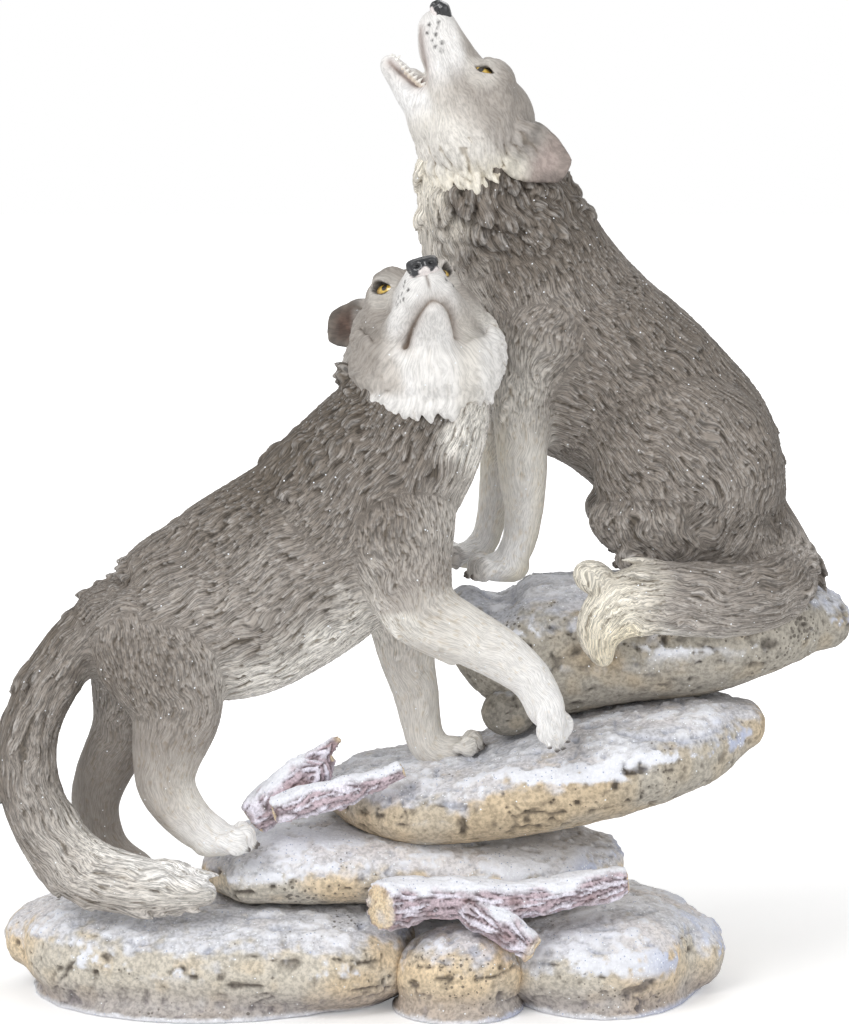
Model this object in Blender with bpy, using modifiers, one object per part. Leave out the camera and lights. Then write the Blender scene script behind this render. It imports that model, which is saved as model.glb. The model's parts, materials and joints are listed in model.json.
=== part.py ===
"""Two wolves on a stack of snowy boulders: a painted ornament, cast in one piece.

The row frame has +Z up, the front at -Y and its origin under the middle of the base. Each wolf is
blocked out from rounded lofts and balls, in millimetres, in a frame that stands on its own boulder.
The blocked out masses are fused with a voxel remesh, as a sculptor would fuse clay, and the result
is thinned to a mesh of few faces and cut flat underneath.
"""

import math

import bmesh
import bpy
from mathutils import Matrix, Vector

MM = 0.001
NAME = "figurine"

# The stack of boulders: how high each layer rises over the one below, in millimetres.
LOWER_RISE = 27.0
SECOND_RISE = 15.0
THIRD_RISE = 21.0
SLAB_RISE = 48.0
SNOW_PLINTH = 2.4
PLINTH_LIP = 2.5

SECOND_TOP = LOWER_RISE + SECOND_RISE
THIRD_TOP = SECOND_TOP + THIRD_RISE
SLAB_TOP = THIRD_TOP + SLAB_RISE

# Where each wolf stands. The walker's frame lies on the second boulder, the sitter's on the slab.
WALKER_DEPTH = -24.0
SITTER_DEPTH = 14.0
BODY_FLATNESS = 0.64
LIMB_FLATNESS = 0.86

# How the heads are held, in degrees.
WALKER_PITCH, WALKER_YAW, WALKER_ROLL = 24.0, 5.0, 15.0
SITTER_PITCH, SITTER_YAW, SITTER_ROLL = 62.0, -90.0, 0.0
SITTER_JAW_OPEN = 21.0

# The ears, laid back, as stations of (x, y, z, half width) in the frame of the head. On the walker
# the ear on its right shows, and the one on its left lies flat behind the crown.
WALKER_EAR = ((-8, 10, 3.5, 6.8), (-12, 14.5, 3, 6.6), (-15, 18, 2.5, 5.6), (-17, 20.5, 2, 4))
WALKER_FLAT_EAR = ((-8, 8.5, 1, 6), (-14, 10.5, 0, 6), (-19, 11.5, -1, 5), (-23, 12, -2, 3.6))
SITTER_EAR = ((-8, 10, 1, 7.4), (-14, 12, 2, 7.6), (-19.5, 13.5, 4.4, 6), (-25, 14.5, 7, 3.2))
WALKER_EAR_FACES = (1.0, 0.3, 0.0)
SITTER_EAR_FACES = (0.25, 1.0, 0.1)

# Locks of fur that stand off the coat.
LOCK_LENGTH, LOCK_WIDTH = 6.5, 3.0

# Mesh fineness.
SIDES = 20
LOFT_STEPS = 5
DOME_ANGLES = (30.0, 58.0, 80.0)
MASS_VOXEL = 1.4
MASS_SMOOTHING = 5
FINE_VOXEL = 1.0
FINE_SMOOTHING = 2
TRIANGLES = 11600


def spline(points, steps):
    """Catmull-Rom samples through points, which are equal-length tuples of numbers."""
    ends = [points[0], *points, points[-1]]
    samples = []
    for i in range(1, len(ends) - 2):
        before, start, stop, after = ends[i - 1 : i + 3]
        for step in range(steps):
            t = step / steps
            samples.append(
                tuple(
                    0.5 * (2 * b + (c - a) * t + (2 * a - 5 * b + 4 * c - d) * t**2
                           + (3 * b - a - 3 * c + d) * t**3)
                    for a, b, c, d in zip(before, start, stop, after)
                )
            )
    return samples + [tuple(points[-1])]


def loft(bm, stations, flat=1.0, power=2.0, side=(0, 1, 0), place=Matrix()):
    """A closed rounded body through stations of (x, y, z, radius) or (x, y, z, radius, half depth).

    side is the direction that the half depth lies along, and power squares the section above 2.
    """
    full = [s if len(s) == 5 else (*s, s[3] * flat) for s in stations]
    rows = spline(full, LOFT_STEPS)
    centres = [Vector(r[:3]) for r in rows]
    tangents = []
    for i in range(len(rows)):
        step = centres[min(i + 1, len(rows) - 1)] - centres[max(i - 1, 0)]
        tangents.append(step.normalized())
    rings = []
    for end, sign in ((0, -1), (None, 0), (-1, 1)):
        if end is None:
            rings += [(c, t, r[3], r[4]) for c, t, r in zip(centres, tangents, rows)]
            continue
        tall, deep = rows[end][3:]
        angles = DOME_ANGLES[::-1] if sign < 0 else DOME_ANGLES
        for angle in map(math.radians, angles):
            out = tangents[end] * sign * min(tall, deep) * math.sin(angle)
            shrink = math.cos(angle)
            rings.append((centres[end] + out, tangents[end], tall * shrink, deep * shrink))
    loops = []
    for centre, tangent, tall, deep in rings:
        across = Vector(side) - tangent * tangent.dot(Vector(side))
        across.normalize()
        upward = tangent.cross(across)
        loop = []
        for k in range(SIDES):
            c, s = math.cos(math.tau * k / SIDES), math.sin(math.tau * k / SIDES)
            c = math.copysign(abs(c) ** (2 / power), c)
            s = math.copysign(abs(s) ** (2 / power), s)
            loop.append(bm.verts.new(place @ (centre + across * deep * c + upward * tall * s)))
        loops.append(loop)
    faces = [bm.faces.new(loops[0]), bm.faces.new(loops[-1])]
    for low, high in zip(loops, loops[1:]):
        for k in range(SIDES):
            n = (k + 1) % SIDES
            faces.append(bm.faces.new((low[k], low[n], high[n], high[k])))
    bmesh.ops.recalc_face_normals(bm, faces=faces)


def ball(bm, centre, radii, place=Matrix(), turn=0.0):
    """An ellipsoid, turned by turn degrees about the Y axis of its frame."""
    shape = Matrix.Rotation(math.radians(turn), 4, "Y") @ Matrix.Diagonal((*radii, 1))
    matrix = place @ Matrix.Translation(centre) @ shape
    bmesh.ops.create_uvsphere(bm, u_segments=SIDES, v_segments=12, radius=1, matrix=matrix)


def lock(bm, root, direction, place=Matrix(), size=1.0):
    """A blunt lock of fur from root, along direction."""
    root, direction = Vector(root), Vector(direction).normalized()
    middle = root + direction * LOCK_LENGTH * size * 0.5
    tip = root + direction * LOCK_LENGTH * size
    width = LOCK_WIDTH * size
    side = direction.orthogonal()
    loft(bm, [(*root, width), (*middle, width * 0.85), (*tip, width * 0.45)], flat=0.8, side=side,
         place=place)


def paw(bm, heel, toes, width, place=Matrix(), lift=0.0):
    """A paw from heel to toes: a pad, and four toes side by side across width."""
    heel, toes = Vector(heel), Vector(toes)
    run = (toes - heel).normalized()
    across = Vector((-run.y, run.x, 0)).normalized()
    loft(bm, [(*heel, width * 0.46), (*heel.lerp(toes, 0.75), width * 0.5)],
         flat=1.0, side=across, place=place)
    for k in (-1.5, -0.5, 0.5, 1.5):
        back = 0.12 * width * abs(k)
        centre = toes + across * k * width * 0.28 - run * back + Vector((0, 0, lift))
        ball(bm, centre, (width * 0.33, width * 0.17, width * 0.33), place)


def head_frame(origin, pitch, yaw, roll):
    """A frame with x along the muzzle, y to the wolf's left and z to the crown.

    At zero angles the muzzle points at the viewer, along -Y. Yaw turns it to the viewer's right,
    pitch lifts it, and roll lifts the side on the viewer's right.
    """
    p, w = math.radians(pitch), math.radians(yaw)
    forward = Vector((math.sin(w) * math.cos(p), -math.cos(w) * math.cos(p), math.sin(p)))
    left = Vector((math.cos(w), math.sin(w), 0))
    crown = forward.cross(left)
    turn = Matrix((forward, left, crown)).transposed().to_4x4()
    return Matrix.Translation(origin) @ turn @ Matrix.Rotation(math.radians(roll), 4, "X")


def head_masses(bm, frame, jaw_open):
    """The skull, muzzle, jaw, cheeks and throat of one wolf, about the middle of its skull."""
    ball(bm, (-1, 0, -2), (13, 12, 11.4), frame)
    ball(bm, (-4, 0, -13), (13, 11.5, 12.5), frame)
    loft(bm, [(4, 0, -4.2, 9.8), (11, 0, -4.8, 8.6), (17.5, 0, -5, 7.5), (22.5, 0, -4.9, 7),
              (27.2, 0, -4, 5.8)], flat=1.05, power=2.3, place=frame)
    ball(bm, (4, 0, -15.5), (13, 11, 8.5), frame)
    for s in (-1, 1):
        ball(bm, (7.5, s * 5, 2.2), (6.8, 5.6, 6.8), frame)
        ball(bm, (-3, s * 9, -9), (12, 8.5, 12), frame)
    hinge = Matrix.Translation((0, 0, -9))
    swing = frame @ hinge @ Matrix.Rotation(math.radians(jaw_open), 4, "Y") @ hinge.inverted()
    loft(bm, [(1, 0, -12.5, 9), (9, 0, -12.6, 6.6), (17, 0, -12.2, 5), (22, 0, -11.3, 4),
              (27, 0, -10.4, 3.2)], flat=1.25, place=swing)


def head_details(bm, frame, ears, ear_faces):
    """The nose, lips, eyes, brows and ears of one wolf. ears holds the right and the left one."""
    ball(bm, (31.6, 0, -0.4), (2.4, 4.2, 2.8), frame)
    for s, ear_stations in zip((-1, 1), ears):
        ball(bm, (24.5, s * 3.9, -7), (5.8, 3.7, 3.6), frame)
        ball(bm, (11.8, s * 8.2, 1.4), (2.6, 1.8, 1.8), frame)
        ball(bm, (10, s * 7.4, 4.6), (4.6, 2.9, 2.2), frame, turn=20)
        stations = [(x, s * y, z, r) for x, y, z, r in ear_stations]
        side = (ear_faces[0], s * ear_faces[1], ear_faces[2])
        loft(bm, stations, flat=0.36, side=side, place=frame)


def walker_masses(bm):
    """The walking wolf's trunk, neck, legs and tail, in the frame on the second boulder."""
    place = Matrix.Translation((0, WALKER_DEPTH, SECOND_TOP))
    trunk = [(-90, 0, 55, 9.5), (-83, 0, 59, 15), (-74, 0, 58.5, 20), (-64, 0, 63.5, 24),
             (-50.5, 0, 68.5, 27.5), (-29, 0, 82, 27.5), (-13, 0, 97.5, 25)]
    loft(bm, trunk, flat=BODY_FLATNESS, place=place)
    neck = [(-24, 0, 90, 25), (-13, 0, 102, 24), (-4.5, 0, 114, 21.5), (0, 0, 124, 18.5)]
    loft(bm, neck, flat=0.76, place=place)
    tail = [(-90, 1, 58, 9), (-96, 0, 52.5, 8.2), (-102, -2, 43.5, 8), (-106, -4, 33, 7.8),
            (-106.5, -7, 21, 8.2), (-102, -10, 8.5, 8.7), (-92.5, -13, -2.5, 9.2),
            (-80, -15, -6.5, 8.4), (-68, -16, -8, 6.8), (-58.5, -16, -9, 3.8)]
    loft(bm, tail, flat=LIMB_FLATNESS, place=place)
    ball(bm, (-70, -9, 56), (19, 9, 19), place, turn=-20)
    near_hind = [(-69, -9, 50, 16), (-66.5, -11, 39, 12.5), (-69, -13, 26.5, 9.2),
                 (-68.5, -13, 18.5, 7.8), (-62.5, -13, 10, 6.4), (-56, -13, 5.5, 5.6)]
    loft(bm, near_hind, flat=LIMB_FLATNESS, place=place)
    far_hind = [(-77, 8, 48, 15), (-79, 10, 41, 12), (-82, 12, 30, 9), (-88, 13, 17.5, 7.6),
                (-90, 13, 8, 6.6), (-86, 13, -3, 5.4), (-78, 12, -9, 5)]
    loft(bm, far_hind, flat=LIMB_FLATNESS, place=place)
    far_front = [(-8, 8, 80, 16), (-5.5, 10, 66, 12), (-5, 11, 52, 8.1), (-2.5, 12, 41, 6.5),
                 (-1, 12, 32.5, 5.7), (1, 11, 26, 5.3), (6, 10.5, 23.5, 4.9)]
    loft(bm, far_front, flat=LIMB_FLATNESS, place=place)
    near_front = [(-8, -7, 88, 17), (-5, -11, 77, 13), (0, -14, 67, 9.8), (9, -16, 62, 8.2),
                  (20, -17, 56, 7.2), (28.5, -18, 49, 5.8), (32.5, -19, 41, 5.4)]
    loft(bm, near_front, flat=LIMB_FLATNESS, place=place)
    frame = walker_head_frame()
    head_masses(bm, frame, 0.0)
    for s in (-1, 1):
        ball(bm, (-9, s * 12, -14), (10, 10.5, 13), frame)


def walker_bib(bm):
    """The front of the walking wolf's ruff, which hangs over its neck and ends in locks."""
    place = Matrix.Translation((0, WALKER_DEPTH, SECOND_TOP))
    loft(bm, [(-11, -2, 129, 9.5, 12), (1, -3.5, 128, 11.5, 15.5), (10.5, -3, 129, 10.5, 13.5)],
         power=2.3, place=place)
    for x, y, z, size in ((-17.5, -5, 127, 0.8), (-14, -9, 123.5, 1.1), (-9, -12.5, 121.5, 0.85),
                          (-4, -14.5, 120.5, 1.1), (1.5, -15.5, 119.5, 0.9), (6, -15.5, 120, 1.15),
                          (11, -13.5, 121, 0.85), (14.5, -10, 122, 1.0), (18, -4, 126, 0.8)):
        lock(bm, (x, y, z), (x / 70, 0.15, -1), place, size)
    for x, y, z, size in ((19, -2, 133, 0.9), (19.5, 2, 139, 0.75), (-19, -1, 134, 0.8)):
        lock(bm, (x, y, z), (x / 40, 0.2, -0.6), place, size)


def walker_details(bm):
    """The walking wolf's paws, elbow, belly fringe, face and the tufts along its back."""
    place = Matrix.Translation((0, WALKER_DEPTH, SECOND_TOP))
    paw(bm, (-58, -13, 4.8), (-47, -13, 3.6), 10.5, place)
    paw(bm, (-80, 12, -10.5), (-66.5, 11, -11), 10, place)
    paw(bm, (2, 11, 24), (13.5, 10, 26.5), 10, place)
    paw(bm, (32.5, -19, 41), (34.5, -20, 34.5), 9, place)
    loft(bm, [(-11, -14, 72.5, 2.6), (-4, -15, 67, 4.4), (8, -16, 58.5, 3)], flat=0.7, place=place)
    for i, (x, z) in enumerate(((-52, 44), (-44, 43.5), (-36, 45), (-29, 48.5), (-22, 53))):
        lock(bm, (x, 4 * (-1) ** i - 2, z), (-1, 0, -0.3), place, 0.8)
    for i, (x, z) in enumerate(((-84, 71), (-74, 79), (-64, 87), (-55, 92), (-48, 96), (-42, 101),
                                (-37, 106), (-33, 112), (-29, 118), (-25, 124))):
        lock(bm, (x, 3 * (-1) ** i, z), (-1, 0.1 * (-1) ** i, -0.2), place, 0.7 + 0.1 * (i % 4))
    for x, y, z in ((-25, -12, 112), (-19, -14, 104), (-32, -11.5, 100), (-12, -15, 108)):
        lock(bm, (x, y, z), (-0.8, -0.1, -0.8), place, 0.9)
    walker_bib(bm)
    head_details(bm, walker_head_frame(), (WALKER_EAR, WALKER_FLAT_EAR), WALKER_EAR_FACES)


def walker_head_frame():
    origin = (-3.2, WALKER_DEPTH + 4, SECOND_TOP + 147.5)
    return head_frame(origin, WALKER_PITCH, WALKER_YAW, WALKER_ROLL)


def sitter_masses(bm):
    """The sitting wolf's trunk, haunches, legs and tail, in the frame on the slab."""
    place = Matrix.Translation((0, SITTER_DEPTH, SLAB_TOP))
    trunk = [(17, 0, 117, 17.5), (18.5, 0, 105, 21), (24.5, 0, 89, 24.5), (32, 0, 73.5, 27.5),
             (41, 0, 62, 28.5), (54, 0, 53, 27), (64, 0, 44, 26), (73, 0, 33.5, 25.5),
             (80, 0, 20, 22)]
    loft(bm, trunk, flat=BODY_FLATNESS, place=place)
    for s in (-1, 1):
        ball(bm, (72, s * 11, 31), (26, 11, 27), place, turn=-35)
        ball(bm, (66, s * 12, 14), (22, 9, 11), place, turn=12)
    ball(bm, (84, -6, 9), (13, 12, 12), place)
    near_front = [(33, -8, 66, 16), (28.5, -10, 55, 11.5), (26.6, -12, 42, 7.8), (26.9, -14, 29.5, 6.8),
                  (27.2, -14, 20, 5.5), (26, -14, 11.5, 4.9), (23.5, -15, 6.5, 4.8)]
    loft(bm, near_front, flat=LIMB_FLATNESS, place=place)
    far_front = [(31, 8, 60, 16), (26, 9, 48, 10.5), (23.5, 10, 36, 8), (21, 10, 25, 6),
                 (18.8, 10, 15, 4.5), (17, 10, 8, 4.2), (14, 9, 5.5, 4)]
    loft(bm, far_front, flat=LIMB_FLATNESS, place=place)
    tail = [(88, 6, 18, 12), (96, 2, 9, 10), (100, -8, 2, 9.5), (97, -20, -1, 10.2),
            (88, -29, -2.5, 10.3), (74, -34, -2, 10.2), (62, -36.5, -1, 10), (52.5, -38, -3, 8.8),
            (47, -39.5, -10, 6.8), (48, -39.5, -17, 3.2)]
    loft(bm, tail, flat=LIMB_FLATNESS, side=(0.3, 0.9, 0.2), place=place)
    head_masses(bm, sitter_head_frame(), SITTER_JAW_OPEN)


def sitter_details(bm):
    """The sitting wolf's paws, face, and the tufts of its mane."""
    place = Matrix.Translation((0, SITTER_DEPTH, SLAB_TOP))
    paw(bm, (24, -15, 4.6), (14.5, -15.5, 3.4), 10, place)
    paw(bm, (15, 9, 4.4), (7, 8, 3.2), 9.5, place)
    for s in (-1, 1):
        paw(bm, (62, s * 15, 6), (55, s * 13, 6), 10, place)
    for i, (x, z) in enumerate(((36, 116), (39.5, 108), (44, 99.5), (48.5, 92), (55, 84), (63, 74))):
        lock(bm, (x, 3 * (-1) ** i, z), (0.8, 0.1 * (-1) ** i, -0.85), place, 0.7 + 0.1 * (i % 3))
    for x, y, z in ((4, -7, 107), (9, -10.5, 102), (16, -12.5, 105), (23, -12.5, 109), (29.5, -9, 113)):
        lock(bm, (x, y, z), (0.1, -0.1, -1), place, 0.85)
    for x, y, z in ((92, -14, 8), (82, -32, 4), (70, -38, 4), (72, -40, -6)):
        lock(bm, (x, y, z), (-1, -0.25, -0.1), place, 0.9)
    head_details(bm, sitter_head_frame(), (SITTER_EAR, SITTER_EAR), SITTER_EAR_FACES)


def sitter_head_frame():
    origin = (19.9, SITTER_DEPTH, SLAB_TOP + 128)
    return head_frame(origin, SITTER_PITCH, SITTER_YAW, SITTER_ROLL)


def boulders(bm):
    """The four layers of boulders. A station is (x, y, z, half height, half depth)."""
    z = LOWER_RISE / 2
    left = [(-107, -5, z, 8, 17), (-101, -6, z, 11, 28), (-90, -7, z, 13, 36), (-72, -7, z, 14, 41),
            (-50, -7, z, 14, 44), (-25, -7, z, 14, 44), (-14, -7, z, 12.5, 40)]
    loft(bm, left, power=2.5)
    right = [(30, -8, z - 1.5, 12, 37), (42, -8, z - 1, 13, 40), (56, -7, z - 1, 13, 38),
             (67, -6, z - 2, 11.5, 30), (74, -6, z - 3, 8, 18)]
    loft(bm, right, power=2.5)
    ball(bm, (9, -37, z - 2.5), (18, 15, 13))
    loft(bm, [(-20, 2, z - 2, 12, 30), (40, 2, z - 2, 12, 30)], power=2.6)
    z = LOWER_RISE + SECOND_RISE / 2
    second = [(-55, -10, z - 1, 6.5, 18), (-50, -10, z - 0.5, 9, 26), (-38, -9, z + 1, 10.5, 30),
              (-15, -6, z + 1.5, 11, 32), (15, -4, z - 0.5, 10.5, 32), (38, -2, z - 1.5, 9.5, 29),
              (49, -2, z - 1.5, 7, 20)]
    loft(bm, second, power=2.4)
    z = THIRD_TOP
    third = [(-24, -4, z - 9, 6, 16), (-17, -4, z - 9.5, 9, 27), (-4, -4, z - 10.5, 11, 35),
             (14, -4, z - 8.5, 12.5, 39), (33, -4, z - 4.5, 14, 40), (55, -4, z + 0.5, 13.5, 38),
             (72, -4, z + 5.5, 12, 31), (81, -4, z + 8, 10, 23), (87, -4, z + 9.5, 7, 14)]
    loft(bm, third, power=2.5)
    z = SLAB_TOP
    slab = [(12, 12, z - 10, 7, 16), (18, 12, z - 16, 14, 25), (29, 12, z - 19, 19, 31),
            (50, 12, z - 18, 18, 33), (75, 12, z - 16, 16, 33), (94, 12, z - 13, 13, 29),
            (104, 12, z - 12, 11, 22), (110, 12, z - 12.5, 8, 14)]
    loft(bm, slab, power=2.6)
    ball(bm, (23, -12, THIRD_TOP + 14), (8, 8, 7))


def driftwood(bm):
    """Three pieces of driftwood: a split log and a twig on the left, and a forked log in front."""
    z = SECOND_TOP
    loft(bm, [(-46, -28, z + 9, 4.5), (-37, -28, z + 16, 5.6), (-28, -27, z + 22.5, 5.6),
              (-22, -27, z + 27, 4.4)], flat=0.9)
    loft(bm, [(-40, -33, z + 12, 3.6), (-24, -36, z + 17.5, 3.6), (-14, -36, z + 20, 2.8),
              (-6, -35, z + 23.5, 2.2)])
    z = LOWER_RISE
    loft(bm, [(-9, -43, z + 4, 6.4), (9, -43, z + 5, 5.6), (27, -42, z + 4.5, 5), (44, -38, z + 7, 4.4),
              (53, -36, z + 8.5, 3.6)])
    loft(bm, [(12, -44, z + 3, 5), (22, -47, z - 2.5, 4.4), (29, -49, z - 7, 3.6)])


def plinth(bm):
    """The thin sheet of snow that the lower boulders stand on."""
    for centre, size in (((-60, -7), (49, 45)), ((9, -33), (18, 20)), ((48, -7), (27, 41))):
        radii = (size[0] + PLINTH_LIP, size[1] + PLINTH_LIP, SNOW_PLINTH)
        ball(bm, (*centre, 0), radii)


def object_from(bm, name):
    """Turns a bmesh in millimetres into an object in metres, linked to the scene."""
    mesh = bpy.data.meshes.new(name)
    bm.to_mesh(mesh)
    bm.free()
    mesh.transform(Matrix.Scale(MM, 4))
    made = bpy.data.objects.new(name, mesh)
    bpy.context.scene.collection.objects.link(made)
    return made


def centred(mesh):
    """Moves the mesh so that its base is over the origin."""
    corners = [[axis(v.co[i] for v in mesh.vertices) for i in (0, 1)] for axis in (min, max)]
    middle = [(low + high) / 2 for low, high in zip(*corners)]
    mesh.transform(Matrix.Translation((-middle[0], -middle[1], 0)))


def fuse(made, voxel, smoothing):
    """Fuses the overlapping bodies of an object into one skin, and smooths it."""
    remesh = made.modifiers.new("fuse", "REMESH")
    remesh.mode = "VOXEL"
    remesh.voxel_size = voxel * MM
    smooth = made.modifiers.new("smooth", "SMOOTH")
    smooth.factor = 0.5
    smooth.iterations = smoothing


def evaluated_mesh(made):
    """The object's mesh with its modifiers applied."""
    bpy.context.view_layer.update()
    graph = bpy.context.evaluated_depsgraph_get()
    return bpy.data.meshes.new_from_object(made.evaluated_get(graph))


def resin():
    """Grey-brown painted resin."""
    material = bpy.data.materials.new("painted_resin")
    material.use_nodes = True
    shader = material.node_tree.nodes["Principled BSDF"]
    shader.inputs["Base Color"].default_value = (0.33, 0.28, 0.22, 1)
    shader.inputs["Roughness"].default_value = 0.6
    shader.inputs["Metallic"].default_value = 0.0
    return material


def build():
    for old in list(bpy.data.objects):
        bpy.data.objects.remove(old)
    bm = bmesh.new()
    walker_masses(bm)
    sitter_masses(bm)
    boulders(bm)
    masses = object_from(bm, "masses")
    fuse(masses, MASS_VOXEL, MASS_SMOOTHING)

    skin = evaluated_mesh(masses)
    skin.transform(Matrix.Scale(1 / MM, 4))
    bpy.data.objects.remove(masses)
    bm = bmesh.new()
    walker_details(bm)
    sitter_details(bm)
    driftwood(bm)
    plinth(bm)
    bm.from_mesh(skin)
    fused = object_from(bm, "fused")
    fuse(fused, FINE_VOXEL, FINE_SMOOTHING)
    mesh = evaluated_mesh(fused)
    bpy.data.objects.remove(fused)
    centred(mesh)

    casting = bpy.data.objects.new(NAME, mesh)
    mesh.materials.append(resin())
    collection = bpy.data.collections.new("wolf_figurine")
    bpy.context.scene.collection.children.link(collection)
    collection.objects.link(casting)
    thin = casting.modifiers.new("thin", "DECIMATE")
    mesh.calc_loop_triangles()
    thin.ratio = TRIANGLES / len(mesh.loop_triangles)

    cutters = bpy.data.collections.new("cutters")
    bpy.context.scene.collection.children.link(cutters)
    bpy.ops.mesh.primitive_cube_add(size=1, location=(0, 0, -0.05))
    floor = bpy.context.object
    floor.name = "floor_cutter"
    floor.scale = (0.4, 0.3, 0.1)
    for home in list(floor.users_collection):
        home.objects.unlink(floor)
    cutters.objects.link(floor)
    floor.hide_render = True
    floor.display_type = "WIRE"
    cut = casting.modifiers.new("flat_base", "BOOLEAN")
    cut.operation = "DIFFERENCE"
    cut.object = floor
    casting.data.shade_smooth()


build()
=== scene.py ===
"""Looks for the painted resin wolves on their snowy boulders, built around the solid casting.

Every form is laid out in millimetres in the casting's own frame, fused with a voxel remesh, then
carved with fur, bark or stone and painted vertex by vertex. The shaders add what is finer than that.
"""

import json
import math
import random

import bmesh
import bpy
import numpy as np
from mathutils import Matrix, Vector

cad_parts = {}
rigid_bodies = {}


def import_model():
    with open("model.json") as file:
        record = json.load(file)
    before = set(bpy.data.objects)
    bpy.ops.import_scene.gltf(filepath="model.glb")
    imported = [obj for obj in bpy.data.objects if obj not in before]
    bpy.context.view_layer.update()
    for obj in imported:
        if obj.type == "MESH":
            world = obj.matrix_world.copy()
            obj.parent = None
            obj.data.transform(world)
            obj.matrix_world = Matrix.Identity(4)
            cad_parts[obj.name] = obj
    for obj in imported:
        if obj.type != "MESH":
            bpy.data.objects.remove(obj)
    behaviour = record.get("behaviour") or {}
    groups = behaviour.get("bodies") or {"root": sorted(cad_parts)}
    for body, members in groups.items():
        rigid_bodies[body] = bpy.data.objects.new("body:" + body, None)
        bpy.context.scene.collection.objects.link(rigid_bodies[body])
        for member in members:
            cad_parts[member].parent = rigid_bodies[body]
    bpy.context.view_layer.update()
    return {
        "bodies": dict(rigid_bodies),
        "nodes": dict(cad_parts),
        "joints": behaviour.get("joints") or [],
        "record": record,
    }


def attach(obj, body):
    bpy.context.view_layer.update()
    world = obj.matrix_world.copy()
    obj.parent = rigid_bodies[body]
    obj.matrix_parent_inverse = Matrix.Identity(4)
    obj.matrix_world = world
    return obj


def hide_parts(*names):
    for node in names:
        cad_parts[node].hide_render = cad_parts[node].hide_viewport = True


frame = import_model()

MM = 0.001
NODE = "figurine"
CENTRE_SHIFT = Vector((-1.29, 4.97, 0))

# Heights of the layers of boulders, and the places of the wolves on them, as in the casting.
LOWER_RISE, SECOND_RISE, THIRD_RISE, SLAB_RISE = 27.0, 15.0, 21.0, 48.0
SECOND_TOP = LOWER_RISE + SECOND_RISE
THIRD_TOP = SECOND_TOP + THIRD_RISE
SLAB_TOP = THIRD_TOP + SLAB_RISE
WALKER_DEPTH, SITTER_DEPTH = -24.0, 14.0
BODY_FLATNESS, LIMB_FLATNESS = 0.64, 0.86

# Mesh fineness, in millimetres.
COAT_VOXEL = 0.58
HEAD_VOXEL = 0.4
ROCK_VOXEL = 0.85
WOOD_VOXEL = 0.5
MASS_VOXEL = 1.3

# A mesh of SMALL_MESH triangles or more keeps this share of them, and never over MOST_TRIANGLES.
SMALL_MESH, MOST_TRIANGLES = 20000, 190000
KEPT_SHARE = 0.74

# The points round a form, the samples between two of its stations, and its rounded ends.
SIDES = 20
LOFT_STEPS = 5
DOME_ANGLES = (30.0, 58.0, 80.0)
SAWN_BLUNTNESS = 0.2

# A form whose fur has no more relief than this, in millimetres, is short-haired.
SHORT_RELIEF = 0.2

# The camera of the photograph.
CAMERA_LENS, CAMERA_SENSOR = 150.4, 36
CAMERA_DISTANCE, CAMERA_RISE = 1.170, 8
CAMERA_TARGET = Vector((-0.00129, 0.00497, 0.1303))


def rgb(*values):
    """A colour of 0 to 255 as the eye sees it, in linear light."""
    c = np.array(values, float) / 255
    return np.where(c <= 0.04045, c / 12.92, ((c + 0.055) / 1.055) ** 2.4)


def smooth(low, high, x):
    t = np.clip((x - low) / (high - low), 0, 1)
    return t * t * (3 - 2 * t)


def mix(a, b, t):
    t = np.asarray(t)
    return a + (b - a) * (t[:, None] if t.ndim else t)


def hashed(seed, *cells):
    """Numbers from 0 to 1 that look random, one for each cell."""
    h = np.full(np.shape(cells[0]), seed * 2654435761 % 2**32, np.uint32)
    for k, c in zip((374761393, 668265263, 2246822519), cells):
        h = (h ^ (np.asarray(c).astype(np.int64) & 0xFFFFFFFF).astype(np.uint32)) * np.uint32(k)
        h ^= h >> np.uint32(15)
    h *= np.uint32(2654435761)
    h ^= h >> np.uint32(13)
    return (h & np.uint32(0xFFFFFF)).astype(np.float64) / 0x1000000


def noise(p, seed=0):
    """Smooth noise from -1 to 1 at points p, with lumps about one unit across."""
    i = np.floor(p).astype(np.int64)
    f = p - i
    f = f * f * (3 - 2 * f)
    total = np.zeros(len(p))
    for corner in range(8):
        d = np.array([corner & 1, corner >> 1 & 1, corner >> 2 & 1])
        weight = np.prod(np.where(d, f, 1 - f), axis=1)
        total += weight * hashed(seed, *(i + d).T)
    return total * 2 - 1


def fbm(p, octaves=3, seed=0):
    total, scale, gain = 0, 1.0, 1.0
    for k in range(octaves):
        total = total + gain * noise(p * scale, seed + k)
        scale, gain = scale * 2.03, gain * 0.5
    return total / 1.6


def spline(points, steps):
    """Catmull-Rom samples through points, which are equal-length tuples of numbers."""
    ends = [points[0], *points, points[-1]]
    samples = []
    for i in range(1, len(ends) - 2):
        before, start, stop, after = ends[i - 1 : i + 3]
        for step in range(steps):
            t = step / steps
            samples.append(
                tuple(
                    0.5 * (2 * b + (c - a) * t + (2 * a - 5 * b + 4 * c - d) * t**2
                           + (3 * b - a - 3 * c + d) * t**3)
                    for a, b, c, d in zip(before, start, stop, after)
                )
            )
    return samples + [tuple(points[-1])]


def unit(v):
    v = np.asarray(v, float)
    return v / np.linalg.norm(v, axis=-1, keepdims=True)


def moved(place, points):
    """Points carried by a matrix."""
    m = np.array(place)
    return points @ m[:3, :3].T + m[:3, 3]


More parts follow.
